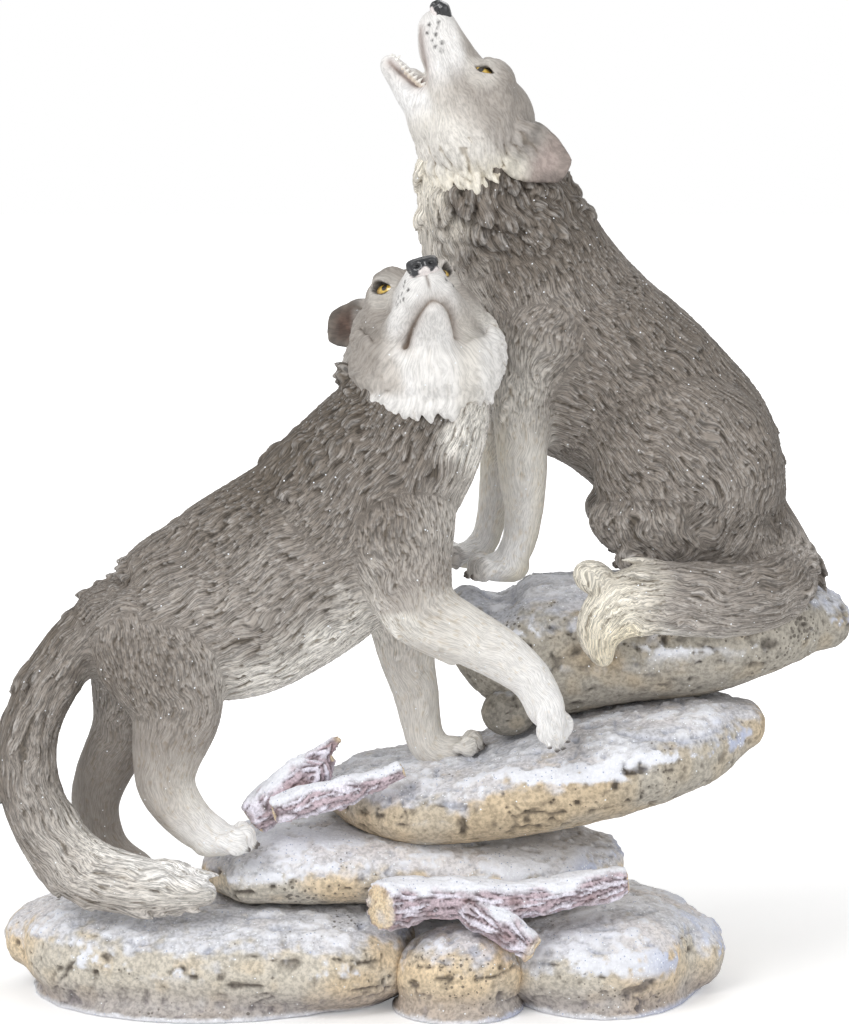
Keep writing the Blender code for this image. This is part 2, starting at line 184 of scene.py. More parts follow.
class Clay:
    """Rounded bodies collected as rings of points, and turned into one mesh together."""

    def __init__(self):
        self.bodies = []

    def add(self, rings):
        self.bodies.append(rings)

    def mesh(self):
        corners, loops, totals, base = [], [], [], 0
        for rings in self.bodies:
            m, k = rings.shape[:2]
            corners.append(rings.reshape(-1, 3))
            grid = base + np.arange(m * k).reshape(m, k)
            turned = np.roll(grid, -1, axis=1)
            quads = np.stack([grid[:-1], turned[:-1], turned[1:], grid[1:]], axis=-1).reshape(-1)
            loops += [quads, grid[0][::-1], grid[-1]]
            totals += [np.full((m - 1) * k, 4), [k, k]]
            base += m * k
        corners, loops = np.concatenate(corners), np.concatenate(loops)
        totals = np.concatenate(totals)
        made = bpy.data.meshes.new("clay")
        made.vertices.add(len(corners))
        made.vertices.foreach_set("co", corners.astype(np.float32).ravel())
        made.loops.add(len(loops))
        made.loops.foreach_set("vertex_index", loops.astype(np.int32))
        made.polygons.add(len(totals))
        starts = np.concatenate([[0], np.cumsum(totals)[:-1]])
        made.polygons.foreach_set("loop_start", starts.astype(np.int32))
        made.update(calc_edges=True)
        return made


class Form:
    """A rounded body along stations of (x, y, z, radius), and the fur and paint that follow it.

    paint holds rows of (share of the way along, colour on the back, on the flank, on the belly), and
    fur is (width of a lock, its length, its relief). lie is -1 where the hair lies towards the start,
    top is -1 where the back of the animal is on the other side of the form, and blunt under 1 cuts
    the rounded ends short.
    """

    def __init__(self, stations, flat=1.0, side=(0, 1, 0), place=None, power=2.0, lie=1, top=1,
                 paint=(), fur=(2.0, 8.0, 0.5), blunt=1.0):
        self.power, self.lie, self.top, self.paint, self.fur = power, lie, top, paint, fur
        self.blunt = blunt
        full = [s if len(s) == 5 else (*s, s[3] * flat) for s in stations]
        rows = np.array(spline(full, LOFT_STEPS))
        self.tall, self.deep = rows[:, 3], rows[:, 4]
        c = rows[:, :3]
        t = unit(np.concatenate([c[1:2] - c[:1], c[2:] - c[:-2], c[-1:] - c[-2:-1]]))
        a = unit(np.array(side) - t * (t @ np.array(side, float))[:, None])
        place = place or Matrix()
        turn = np.array(place)[:3, :3]
        self.centres = moved(place, c)
        self.t, self.a = t @ turn.T, a @ turn.T
        self.u = np.cross(self.t, self.a)
        steps = np.linalg.norm(np.diff(self.centres, axis=0), axis=1)
        self.along = np.concatenate([[0], np.cumsum(steps)])
        self.size = float(np.mean(self.tall))

    def build(self, clay):
        angles = np.radians(DOME_ANGLES)
        rows = []
        for end, sign, turns in ((0, -1, angles[::-1]), (-1, 1, angles)):
            reach = min(self.tall[end], self.deep[end]) * self.blunt
            dome = [(self.centres[end] + self.t[end] * sign * reach * math.sin(g), self.a[end],
                     self.u[end], self.tall[end] * math.cos(g), self.deep[end] * math.cos(g))
                    for g in turns]
            if sign < 0:
                rows = dome + list(zip(self.centres, self.a, self.u, self.tall, self.deep))
            else:
                rows += dome
        turn = np.arange(SIDES) * math.tau / SIDES
        c, s = np.cos(turn), np.sin(turn)
        c = np.sign(c) * np.abs(c) ** (2 / self.power)
        s = np.sign(s) * np.abs(s) ** (2 / self.power)
        clay.add(np.array([m + np.outer(c, a * deep) + np.outer(s, u * tall)
                           for m, a, u, tall, deep in rows]))

    def unbent(self, points):
        """Where each point is on the form laid out straight: the angle round it, the way along it,
        how far out it is as a share of its radius, the share of the way along, and the radius."""
        best = np.zeros(len(points), int)
        least = np.full(len(points), np.inf)
        for j, centre in enumerate(self.centres):
            d = ((points - centre) ** 2).sum(1)
            closer = d < least
            best[closer] = j
            least[closer] = d[closer]
        delta = points - self.centres[best]
        t, a, u = (np.einsum("ij,ij->i", delta, axis[best]) for axis in (self.t, self.a, self.u))
        way = self.along[best] + t
        place = np.clip(way, 0, self.along[-1])
        tall, deep = (np.interp(place, self.along, r) for r in (self.tall, self.deep))
        beyond = np.abs(way - place)
        out = np.sqrt((a / deep) ** 2 + (u / tall) ** 2 + (beyond / np.minimum(tall, deep)) ** 2)
        return np.arctan2(u / tall, a / deep), way, out, place / self.along[-1], tall


def ball(clay, centre, radii, place=Matrix(), turn=0.0):
    """An ellipsoid, turned by turn degrees about the Y axis of its frame."""
    high = np.linspace(-80, 80, 9) * math.pi / 180
    turns = np.arange(SIDES) * math.tau / SIDES
    unit_ball = np.stack([np.outer(np.cos(high), np.cos(turns)), np.outer(np.cos(high), np.sin(turns)),
                          np.outer(np.sin(high), np.ones(SIDES))], -1)
    shape = place @ Matrix.Translation(centre) @ Matrix.Rotation(math.radians(turn), 4, "Y")
    clay.add(moved(shape, unit_ball.reshape(-1, 3) * np.array(radii)).reshape(9, SIDES, 3))


def paw(clay, heel, toes, width, place, claws):
    """A paw from heel to toes: a pad, and four toes with blunt claws side by side across width. The
    places of the claws are added to claws."""
    heel, toes = Vector(heel), Vector(toes)
    run = (toes - heel).normalized()
    across = Vector((-run.y, run.x, 0)).normalized()
    Form([(*heel, width * 0.42), (*heel.lerp(toes, 0.5), width * 0.36)], 1.0, across, place).build(clay)
    for k in (-1.5, -0.5, 0.5, 1.5):
        toe = toes + across * k * width * 0.29 - run * (0.12 * width * abs(k) - 0.6)
        back = toe - run * width * 0.32 + Vector((0, 0, width * 0.06))
        Form([(*back, width * 0.15), (*toe, width * 0.165)], 1.0, across, place).build(clay)
        ball(clay, toe + Vector((0, 0, width * 0.04)), (width * 0.25, width * 0.155, width * 0.32), place)
        nail = toe + run * width * 0.25 - Vector((0, 0, width * 0.12))
        ball(clay, nail, (width * 0.1, width * 0.06, width * 0.07), place)
        claws.append(np.array(place @ (nail + run * width * 0.05)))


def tuft(clay, root, direction, length, radius, outward, lift=0.25):
    """A pointed lock that lies along direction, flattened against the body below it."""
    direction = unit(direction)
    side = unit(np.cross(direction, outward))
    up = np.cross(side, direction)
    middle = root + direction * length * 0.45 + up * lift * radius
    tip = root + direction * length + up * lift * radius * 0.6
    Form([(*root, radius * 0.55), (*middle, radius * 0.6), (*tip, radius * 0.14)], 1.7, side).build(clay)


def fringe(clay, form, shares, angles, count, length, radius, spread=0.35, sink=0.9, seed=0):
    """Pointed locks strewn over a form, between two shares of its length and two angles round it."""
    dice = random.Random(seed)
    for k in range(count):
        share = dice.uniform(*shares)
        j = min(int(share * (len(form.centres) - 1)), len(form.centres) - 1)
        g = math.radians(dice.uniform(*angles))
        outward = form.a[j] * math.cos(g) * form.tall[j] + form.u[j] * math.sin(g) * form.deep[j]
        outward = outward / np.linalg.norm(outward)
        root = form.centres[j] + (form.a[j] * form.deep[j] * math.cos(g)
                                  + form.u[j] * form.tall[j] * math.sin(g)) * sink
        round_it = np.cross(outward, form.t[j])
        way = form.t[j] * form.lie + outward * dice.uniform(0.1, 0.5) * spread * 2
        way = way + round_it * dice.uniform(-spread, spread)
        size = dice.uniform(0.7, 1.25)
        tuft(clay, root, way, length * size, radius * size, outward)


def head_frame(origin, pitch, yaw, roll):
    """x along the muzzle, y to the wolf's left, z to the crown, with the muzzle at -Y unturned."""
    p, w = math.radians(pitch), math.radians(yaw)
    forward = Vector((math.sin(w) * math.cos(p), -math.cos(w) * math.cos(p), math.sin(p)))
    left = Vector((math.cos(w), math.sin(w), 0))
    turn = Matrix((forward, left, forward.cross(left))).transposed().to_4x4()
    return Matrix.Translation(origin) @ turn @ Matrix.Rotation(math.radians(roll), 4, "X")


def modified(mesh, *steps):
    """A mesh after modifiers, given as a kind and its settings. The mesh itself is used up."""
    working = bpy.data.objects.new("working", mesh)
    bpy.context.scene.collection.objects.link(working)
    for kind, settings in steps:
        step = working.modifiers.new(kind, kind)
        for key, value in settings.items():
            setattr(step, key, value)
    bpy.context.view_layer.update()
    graph = bpy.context.evaluated_depsgraph_get()
    made = bpy.data.meshes.new_from_object(working.evaluated_get(graph))
    bpy.data.objects.remove(working)
    bpy.data.meshes.remove(mesh)
    return made


def remeshed(mesh, voxel, smoothing):
    """One skin round all the overlapping bodies of a mesh."""
    return modified(mesh, ("REMESH", dict(mode="VOXEL", voxel_size=voxel)),
                    ("SMOOTH", dict(factor=0.5, iterations=smoothing)))


def joined(*meshes):
    """The meshes as one, each of them used up."""
    bm = bmesh.new()
    for mesh in meshes:
        bm.from_mesh(mesh)
        bpy.data.meshes.remove(mesh)
    made = bpy.data.meshes.new("joined")
    bm.to_mesh(made)
    bm.free()
    return made


def two_stage(masses, details, voxel, relax=2, first=MASS_VOXEL, soften=5):
    """The big masses fused and smoothed, then the small forms fused on."""
    skin = remeshed(masses.mesh(), first, soften)
    return remeshed(joined(details.mesh(), skin), voxel, relax)


def read(mesh, field="co"):
    """The places of the vertices, or their normals."""
    values = np.empty(len(mesh.vertices) * 3)
    mesh.vertices.foreach_get(field, values)
    return values.reshape(-1, 3)


def set_points(mesh, co):
    mesh.vertices.foreach_set("co", co.astype(np.float32).ravel())
    mesh.update()


def edges_of(mesh):
    e = np.empty(len(mesh.edges) * 2, np.int32)
    mesh.edges.foreach_get("vertices", e)
    return e.reshape(-1, 2)


def relaxed(values, edges, times):
    """Values at the vertices, averaged with their neighbours'."""
    if values.ndim == 2:
        return np.stack([relaxed(v, edges, times) for v in values.T], axis=1)
    count = np.maximum(np.bincount(edges.ravel(), minlength=len(values)), 1)
    for _ in range(times):
        total = np.bincount(edges[:, 0], values[edges[:, 1]], len(values))
        total += np.bincount(edges[:, 1], values[edges[:, 0]], len(values))
        values = 0.5 * values + 0.5 * total / count
    return values


def hollows(mesh, times):
    """How far each vertex lies below its neighbourhood, in millimetres."""
    co = read(mesh)
    return ((relaxed(co, edges_of(mesh), times) - co) * read(mesh, "normal")).sum(1)


def near_curve(points, stops):
    """The distance from each point to a curve through stops, and the share of the way along it."""
    rows = np.array(spline([tuple(map(float, s)) for s in stops], 6))
    least, share = np.full(len(points), np.inf), np.zeros(len(points))
    for k, (a, b) in enumerate(zip(rows, rows[1:])):
        run = b - a
        t = np.clip((points - a) @ run / (run @ run), 0, 1)
        d = np.linalg.norm(points - a - t[:, None] * run, axis=1)
        closer = d < least
        least[closer], share[closer] = d[closer], ((k + t) / (len(rows) - 1))[closer]
    return least, share


def attribute(mesh, name, values):
    if values.ndim == 2 and values.shape[1] == 4:
        kind, field = "FLOAT_COLOR", "color"
    elif values.ndim == 2:
        kind, field = "FLOAT_VECTOR", "vector"
    else:
        kind, field = "FLOAT", "value"
    made = mesh.attributes.new(name, kind, "POINT")
    made.data.foreach_set(field, values.astype(np.float32).ravel())


def thinned(mesh):
    """A large mesh with fewer triangles where it is smooth, all else kept."""
    mesh.calc_loop_triangles()
    count = len(mesh.loop_triangles)
    if count < SMALL_MESH:
        return mesh
    return modified(mesh, ("DECIMATE", dict(ratio=min(KEPT_SHARE, MOST_TRIANGLES / count))))


def piece(name, mesh, material, colours, **fields):
    """Finishes a mesh in millimetres as a shown piece of the casting."""
    colours = np.concatenate([np.clip(colours, 0, 1), np.ones((len(colours), 1))], axis=1)
    attribute(mesh, "paint", colours)
    for field, values in fields.items():
        attribute(mesh, field, values)
    mesh = thinned(mesh)
    mesh.transform(Matrix.Scale(MM, 4) @ Matrix.Translation(CENTRE_SHIFT))
    mesh.name = name
    mesh.materials.clear()
    mesh.materials.append(material)
    made = bpy.data.objects.new(name, mesh)
    bpy.context.scene.collection.objects.link(made)
    mesh.shade_smooth()
    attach(made, "root")
    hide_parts(NODE)


def locks(angle, way, girth, width, length, seed):
    """Overlapping pointed locks on a straightened form: their relief from 0 to 1, and a random tone
    for each. girth is the form's radius, so that a whole number of locks goes round it."""
    count = max(4, round(math.tau * girth / width))
    across = (angle / math.tau + 0.5) * count
    pitch = length * 0.36
    forward = way / pitch
    i, j = np.floor(across).astype(np.int64), np.floor(forward).astype(np.int64)
    relief, tone = np.zeros(len(way)), np.full(len(way), 0.5)
    for di in (-1, 0, 1):
        for dj in range(4):
            column, row = (i + di) % count, j - dj
            r = [hashed(seed + k, column, row) for k in range(5)]
            u = np.clip((forward - (row + r[0])) * pitch / (length * (0.65 + 0.35 * r[1])), 0, 1)
            half = 0.72 * (0.65 + 0.5 * r[2]) * np.sqrt(np.clip(u / 0.2, 0, 1)) * (1 - u**2.4) ** 0.8
            middle = i + di + 0.5 + 0.7 * (r[3] - 0.5) + (r[4] - 0.5) * 0.9 * u**2
            v = (across - middle) / np.maximum(half, 1e-3)
            height = (0.25 + 0.75 * u**0.8) * np.sqrt(np.clip(1 - v * v, 0, 1))
            height = np.where((u <= 0) | (u >= 1), 0, height)
            top = height > relief
            relief[top] = height[top]
            tone[top] = hashed(seed + 9, column, row)[top]
    return relief, tone


def stops(table, share, column):
    at = [row[0] for row in table]
    colours = np.array([row[column] for row in table])
    return np.stack([np.interp(share, at, colours[:, k]) for k in range(3)], axis=1)


def coat(points, forms, seed, swirl=2.2):
    """Fur over a body made of forms: its relief, the height of the lock at each point from 0 to 1,
    the lock's tone, the paint, the place on the straightened form, and how bold the fur is."""
    laid = [form.unbent(points) for form in forms]
    out = np.array([l[2] for l in laid])
    least = out.min(0)
    weight = np.exp(-(((out - least) / 0.25) ** 2))
    weight /= weight.sum(0)
    paint, bold = np.zeros((len(points), 3)), np.zeros(len(points))
    wander = fbm(points / 9, 3, seed + 50)
    for form, l, w in zip(forms, laid, weight):
        high = np.sin(l[0]) * form.top + 0.3 * wander
        share = np.clip(l[3] + 0.05 * wander, 0, 1)
        shade = mix(stops(form.paint, share, 2), stops(form.paint, share, 1), smooth(0.1, 0.85, high))
        shade = mix(shade, stops(form.paint, share, 3), smooth(-0.3, -0.85, high))
        paint += w[:, None] * shade
        bold += w * (1 if form.fur[2] > SHORT_RELIEF else 0.8 * smooth(0.5, 0.12, share))
    order = np.argsort(out, axis=0)[:2]
    bend = [noise(points / 14, seed + 60 + k) + 0.5 * noise(points / 5, seed + 62 + k) for k in (0, 1)]
    reliefs, tones, levels = [], [], []
    strand = np.zeros((len(points), 3))
    for rank in range(2):
        relief, tone, level = (np.zeros(len(points)) for _ in range(3))
        for k, form in enumerate(forms):
            mine = order[rank] == k
            if not mine.any():
                continue
            angle, way, _, _, tall = (v[mine] for v in laid[k])
            way = way * form.lie + swirl * bend[1][mine]
            angle = angle + swirl * bend[0][mine] / np.maximum(tall, 5)
            width, length, height = form.fur
            if height <= SHORT_RELIEF:
                height = height + 0.28 * smooth(0.5, 0.12, laid[k][3][mine])
            level[mine], tone[mine] = locks(angle, way + 500, form.size, width, length, seed + 7 * k)
            relief[mine] = level[mine] * height * np.clip(tall / 12, 0.35, 1.1)
            if rank == 0:
                strand[mine] = np.stack([form.size * np.cos(angle), form.size * np.sin(angle),
                                         way + 97.0 * k], axis=1)
        reliefs.append(relief)
        tones.append(tone)
        levels.append(level)
    rows = np.arange(len(points))
    share = smooth(-0.16, 0.16, out[order[1], rows] - out[order[0], rows])
    relief = reliefs[0] * share + reliefs[1] * (1 - share)
    return relief, levels[0] * share + levels[1] * (1 - share), tones[0], paint, strand, bold


def brushed(paint, height, tone, wash=0.40, dry=0.34, contrast=1.0, warm=(1.0, 0.93, 0.83)):
    """Paint with a dark wash left in the grooves and a pale dry brushing on the tips of the locks."""
    height = np.clip(height, 0, 1)
    colour = paint * (1 + 0.32 * contrast * (tone - 0.5))[:, None]
    grooves = paint * np.reshape(wash, (-1, 1)) * np.array(warm)
    colour = mix(grooves, colour, smooth(0.10, 0.55, height))
    pale = 1 - (1 - paint) * 0.62
    return mix(colour, pale, dry * smooth(0.62, 1.0, height) * (0.4 + 0.9 * tone))


MANE, BACK, FLANK = rgb(97, 88, 78), rgb(122, 114, 106), rgb(148, 141, 134)
TAUPE, FAWN, CREAM = rgb(165, 158, 151), rgb(198, 192, 185), rgb(221, 217, 210)
WHITE, IVORY, TIP = rgb(240, 239, 238), rgb(230, 224, 210), rgb(236, 226, 202)
SOOT, PALE, CLAW = rgb(40, 37, 36), rgb(228, 226, 223), rgb(74, 66, 60)


WALKER_AT = Matrix.Translation((0, WALKER_DEPTH, SECOND_TOP))
SITTER_AT = Matrix.Translation((0, SITTER_DEPTH, SLAB_TOP))
WALKER_HEAD = head_frame((-3.2, WALKER_DEPTH + 4, SECOND_TOP + 147.5), 24, 5, 15)
SITTER_HEAD = head_frame((19.9, SITTER_DEPTH, SLAB_TOP + 128), 62, -90, 0)


def walker_forms():
    """The walking wolf's trunk, neck, tail and legs: from rump to chest, and from body to paw."""
    at = dict(place=WALKER_AT)
    limb = dict(flat=LIMB_FLATNESS, place=WALKER_AT)
    body = [(0, BACK, TAUPE, FAWN), (0.35, BACK, FLANK, CREAM), (0.75, MANE, FLANK, CREAM),
            (1, MANE, BACK, CREAM)]
    return [
        Form([(-90, 0, 55, 9.5), (-83, 0, 59, 15), (-74, 0, 58.5, 20), (-64, 0, 63.5, 24),
              (-50.5, 0, 68.5, 27.5), (-29, 0, 82, 27.5), (-13, 0, 97.5, 25)], BODY_FLATNESS, lie=-1,
             paint=body, fur=(1.6, 5.5, 0.55), **at),
        Form([(-24, 0, 90, 25), (-13, 0, 102, 24), (-4.5, 0, 114, 21.5), (0, 0, 124, 18.5)], 0.76,
             lie=-1, paint=[(0, MANE, BACK, CREAM), (0.6, MANE, BACK, FAWN), (1, MANE, MANE, FAWN)],
             fur=(1.8, 6.5, 0.75), **at),
        Form([(-90, 1, 58, 9), (-96, 0, 52.5, 8.2), (-102, -2, 43.5, 8), (-106, -4, 33, 7.8),
              (-106.5, -7, 21, 8.2), (-102, -10, 8.5, 8.7), (-92.5, -13, -2.5, 9.2),
              (-80, -15, -6.5, 8.4), (-68, -16, -8, 6.8), (-58.5, -16, -9, 3.8)], top=-1,
             paint=[(0, MANE, BACK, BACK), (0.45, BACK, FLANK, FLANK), (0.7, TAUPE, FAWN, CREAM),
                    (1, FAWN, CREAM, WHITE)], fur=(1.6, 12, 0.62), **limb),
        Form([(-69, -9, 50, 16), (-66.5, -11, 39, 12.5), (-69, -13, 26.5, 9.2),
              (-68.5, -13, 18.5, 7.8), (-62.5, -13, 10, 6.4), (-56, -13, 5.5, 5.6)],
             paint=[(0, FLANK, BACK, BACK), (0.4, TAUPE, FLANK, FLANK), (0.75, CREAM, FAWN, TAUPE),
                    (1, WHITE, WHITE, CREAM)], fur=(1.1, 2.6, 0.12), **limb),
        # The far hind leg is painted darker than the near one all the way to the paw, as painted shade.
        Form([(-77, 8, 48, 15), (-79, 10, 41, 12), (-82, 12, 30, 9), (-88, 13, 17.5, 7.6),
              (-90, 13, 8, 6.6), (-86, 13, -3, 5.4), (-78, 12, -9, 5)],
             paint=[(0, BACK, FLANK, FLANK), (0.5, FLANK, FLANK, FLANK), (1, TAUPE, TAUPE, TAUPE)],
             fur=(1.1, 2.6, 0.12), **limb),
        Form([(-8, 8, 80, 16), (-5.5, 10, 66, 12), (-5, 11, 52, 8.1), (-2.5, 12, 41, 6.5),
              (-1, 12, 32.5, 5.7), (1, 11, 26, 5.3), (6, 10.5, 23.5, 4.9)],
             paint=[(0, FLANK, FLANK, FLANK), (0.3, CREAM, FAWN, CREAM), (1, CREAM, CREAM, CREAM)],
             fur=(1.1, 2.6, 0.12), **limb),
        Form([(-8, -7, 88, 17), (-5, -11, 77, 13), (0, -14, 67, 9.8), (9, -16, 62, 8.2),
              (20, -17, 56, 7.2), (28.5, -18, 49, 5.8), (32.5, -19, 41, 5.4)],
             paint=[(0, FLANK, BACK, FLANK), (0.3, TAUPE, TAUPE, FAWN), (0.5, CREAM, CREAM, CREAM),
                    (1, WHITE, WHITE, WHITE)], fur=(1.1, 2.6, 0.10), **limb),
    ]


def sitter_forms():
    """The sitting wolf's trunk, haunch, tail and legs: from neck to rump, and from body to paw."""
    limb = dict(flat=LIMB_FLATNESS, place=SITTER_AT)
    legs = [(0, BACK, FLANK, FLANK), (0.25, FLANK, CREAM, CREAM), (0.5, CREAM, CREAM, IVORY),
            (1, IVORY, WHITE, WHITE)]
    return [
        Form([(17, 0, 117, 17.5), (18.5, 0, 105, 21), (24.5, 0, 89, 24.5), (32, 0, 73.5, 27.5),
              (41, 0, 62, 28.5), (54, 0, 53, 27), (64, 0, 44, 26), (73, 0, 33.5, 25.5),
              (80, 0, 20, 22)], BODY_FLATNESS, place=SITTER_AT,
             paint=[(0, MANE, BACK, IVORY), (0.25, BACK, BACK, FAWN), (0.45, BACK, BACK, TAUPE),
                    (1, MANE, BACK, FLANK)], fur=(1.5, 4.6, 0.55)),
        Form([(17, 0, 118, 18.2), (18.5, 0, 106, 21.8), (24.5, 0, 91, 25)], BODY_FLATNESS + 0.02,
             place=SITTER_AT, paint=[(0, MANE, MANE, IVORY), (1, MANE, MANE, FAWN)],
             fur=(2.0, 7.5, 0.85)),
        Form([(57, -6, 44, 22), (68, -8, 34, 24), (76, -8, 22, 20), (70, -10, 13, 12)], 0.55,
             place=SITTER_AT, paint=[(0, BACK, BACK, BACK), (1, FLANK, FLANK, FLANK)],
             fur=(1.5, 4.6, 0.55)),
        Form([(88, 6, 18, 12), (96, 2, 9, 10), (100, -8, 2, 9.5), (97, -20, -1, 10.2),
              (88, -29, -2.5, 10.3), (74, -34, -2, 10.2), (62, -36.5, -1, 10), (52.5, -38, -3, 8.8),
              (47, -39.5, -10, 6.8), (48, -39.5, -17, 3.2)], side=(0.3, 0.9, 0.2), top=-1,
             paint=[(0, BACK, BACK, BACK), (0.45, BACK, FLANK, TAUPE), (0.72, FLANK, TAUPE, CREAM),
                    (0.85, IVORY, IVORY, TIP), (1, IVORY, TIP, TIP)], fur=(1.2, 10, 0.36), **limb),
        Form([(33, -8, 66, 16), (28.5, -10, 55, 11.5), (26.6, -12, 42, 7.8), (26.9, -14, 29.5, 6.8),
              (27.2, -14, 20, 5.5), (26, -14, 11.5, 4.9), (23.5, -15, 6.5, 4.8)], paint=legs,
             fur=(1.1, 2.6, 0.12), **limb),
        Form([(31, 8, 60, 16), (26, 9, 48, 10.5), (23.5, 10, 36, 8), (21, 10, 25, 6),
              (18.8, 10, 15, 4.5), (17, 10, 8, 4.2), (14, 9, 5.5, 4)], paint=legs,
             fur=(1.1, 2.6, 0.12), **limb),
    ]


def walker_skin(forms):
    masses, details, claws = Clay(), Clay(), []
    for form in forms:
        form.build(masses)
    ball(masses, (-70, -9, 56), (19, 9, 19), WALKER_AT, turn=-20)
    for heel, toes, width in (((-58, -13, 5.2), (-48, -14, 5), 12),
                              ((-80, 12, -10.5), (-66.5, 11, -11), 10),
                              ((2, 11, 24), (13.5, 10, 26.5), 10),
                              ((32.5, -19, 42), (35, -20.5, 35), 11)):
        paw(details, heel, toes, width, WALKER_AT, claws)
    ball(details, (-18, -25, 168), (4.5, 6, 5.5))
    dice = random.Random(9)
    for _ in range(16):
        root = np.array((dice.uniform(-20, -16), dice.uniform(-31, -20), dice.uniform(161, 172)))
        way = (-0.8, dice.uniform(-0.4, 0.3), dice.uniform(-0.2, 0.9))
        tuft(details, root, way, 5, 2, np.array((-0.6, -0.3, 0.7)), lift=0.5)
    Form([(-11, -14, 68, 3), (-4, -15, 63, 4.6), (8, -16, 55.5, 3)], 0.7,
         place=WALKER_AT).build(details)
    trunk, neck, tail = forms[:3]
    fringe(details, trunk, (0.25, 0.95), (60, 120), 60, 4.5, 1.5, spread=0.45, seed=1)
    fringe(details, trunk, (0.2, 0.75), (255, 285), 36, 5, 1.5, spread=0.3, seed=2)
    fringe(details, trunk, (0.03, 0.3), (50, 130), 24, 4, 1.3, spread=0.25, seed=3)
    fringe(details, neck, (0.0, 0.95), (60, 150), 70, 5, 1.9, spread=0.75, seed=4)
    fringe(details, neck, (0.1, 0.9), (180, 350), 50, 6, 1.6, spread=0.25, seed=5)
    fringe(details, tail, (0.1, 0.86), (0, 360), 60, 9, 1.4, spread=0.1, seed=6)
    fringe(details, tail, (0.84, 0.97), (0, 360), 26, 6, 1.5, spread=0.1, seed=16)
    fringe(details, forms[5], (0.25, 0.6), (150, 220), 10, 4, 1.2, spread=0.25, seed=7)
    fringe(details, forms[6], (0.1, 0.45), (200, 330), 14, 5, 1.4, spread=0.15, seed=8)
    return two_stage(masses, details, COAT_VOXEL), claws


def sitter_skin(forms):
    masses, details, claws = Clay(), Clay(), []
    for form in forms[:1] + forms[3:]:
        form.build(masses)
    for s in (-1, 1):
        ball(masses, (72, s * 11, 31), (26, 11, 27), SITTER_AT, turn=-35)
        ball(masses, (66, s * 12, 14), (22, 9, 11), SITTER_AT, turn=12)
    ball(masses, (84, -6, 9), (13, 12, 12), SITTER_AT)
    paw(details, (24, -15, 4.8), (14.5, -15.5, 3.8), 11.5, SITTER_AT, claws)
    paw(details, (15, 9, 4.4), (7, 8, 3.6), 10.5, SITTER_AT, claws)
    for s in (-1, 1):
        paw(details, (62, s * 15, 6), (55, s * 13, 6), 10, SITTER_AT, claws)
    trunk, mane, _, tail, near = forms[:5]
    fringe(details, mane, (0.1, 1.0), (0, 360), 150, 5.5, 2.1, spread=0.8, seed=11)
    fringe(details, trunk, (0.2, 0.98), (50, 125), 90, 4, 1.5, spread=0.45, seed=12)
    fringe(details, tail, (0.05, 0.8), (0, 360), 60, 10, 1.5, spread=0.1, seed=13)
    fringe(details, near, (0.15, 0.5), (100, 260), 8, 4, 1.2, spread=0.15, seed=14)
    ball(details, (45.5, -39, 5), (6, 5, 4.6), SITTER_AT, turn=25)
    return two_stage(masses, details, COAT_VOXEL), claws


def furry(name, skin, forms, seed, swirl, material, patches=()):
    """Carves and paints the coat of a body. patches are the centres and radii of cream ones."""
    mesh, claws = skin
    edges = edges_of(mesh)
    points, normals = read(mesh), read(mesh, "normal")
    relief, level, tone, paint, strand, bold = coat(points, forms, seed, swirl)
    settled = relaxed(relief, edges, 12)
    set_points(mesh, points + normals * (relief - 0.6 * settled)[:, None])
    hollow = hollows(mesh, 6)
    for centre, radii in patches:
        away = np.linalg.norm((points - np.array(centre)) / np.array(radii), axis=1)
        paint = mix(paint, CREAM, smooth(1.15, 0.75, away + 0.2 * noise(points / 3, seed + 80)))
    colour = brushed(paint, level, tone, 0.86 - 0.48 * bold, 0.10 + 0.3 * bold, 0.3 + 0.7 * bold)
    deep = smooth(0.05, 0.30, hollow - 0.10 * (1 - bold))
    colour = mix(colour, paint * np.array((0.30, 0.27, 0.23)), 0.85 * deep)
    colour = mix(colour, 1 - (1 - paint) * 0.62, 0.35 * smooth(0.06, 0.28, -hollow))
    for claw in claws:
        colour = mix(colour, CLAW, 0.9 * smooth(1.25, 0.7, np.linalg.norm(points - claw, axis=1)))
    piece(name, mesh, material, colour, strand=strand, short=1 - bold)


EYE_AT = np.array((11.4, 8.4, 1.9))
EYE_OUT = unit((0.6, 0.72, 0.34))


def eye_axes(tilt):
    """The directions from the inner to the outer corner of an eye, up its lids, and outwards."""
    back = unit(np.cross((0, 0, 1), EYE_OUT))
    up = np.cross(EYE_OUT, back)
    return np.array((unit(back + tilt * up), unit(up - tilt * back), EYE_OUT))


def eye_opening(mirrored, tilt, squint):
    """How far inside the almond between the lids each point is, and its place in the eye's plane."""
    along, lift, out = (eye_axes(tilt) @ (mirrored - EYE_AT).T)
    reach = 3.5 - 0.4 * squint
    arch = np.clip(1 - (along / reach) ** 2, 0, 1)
    upper, lower = (1.9 - 0.75 * squint) * arch**0.7, -(1.2 - 0.2 * squint) * arch
    inside = np.minimum(np.minimum(upper - lift, lift - lower), reach - np.abs(along))
    return np.where(np.abs(out) < 4, inside, -9.0), along, lift, out


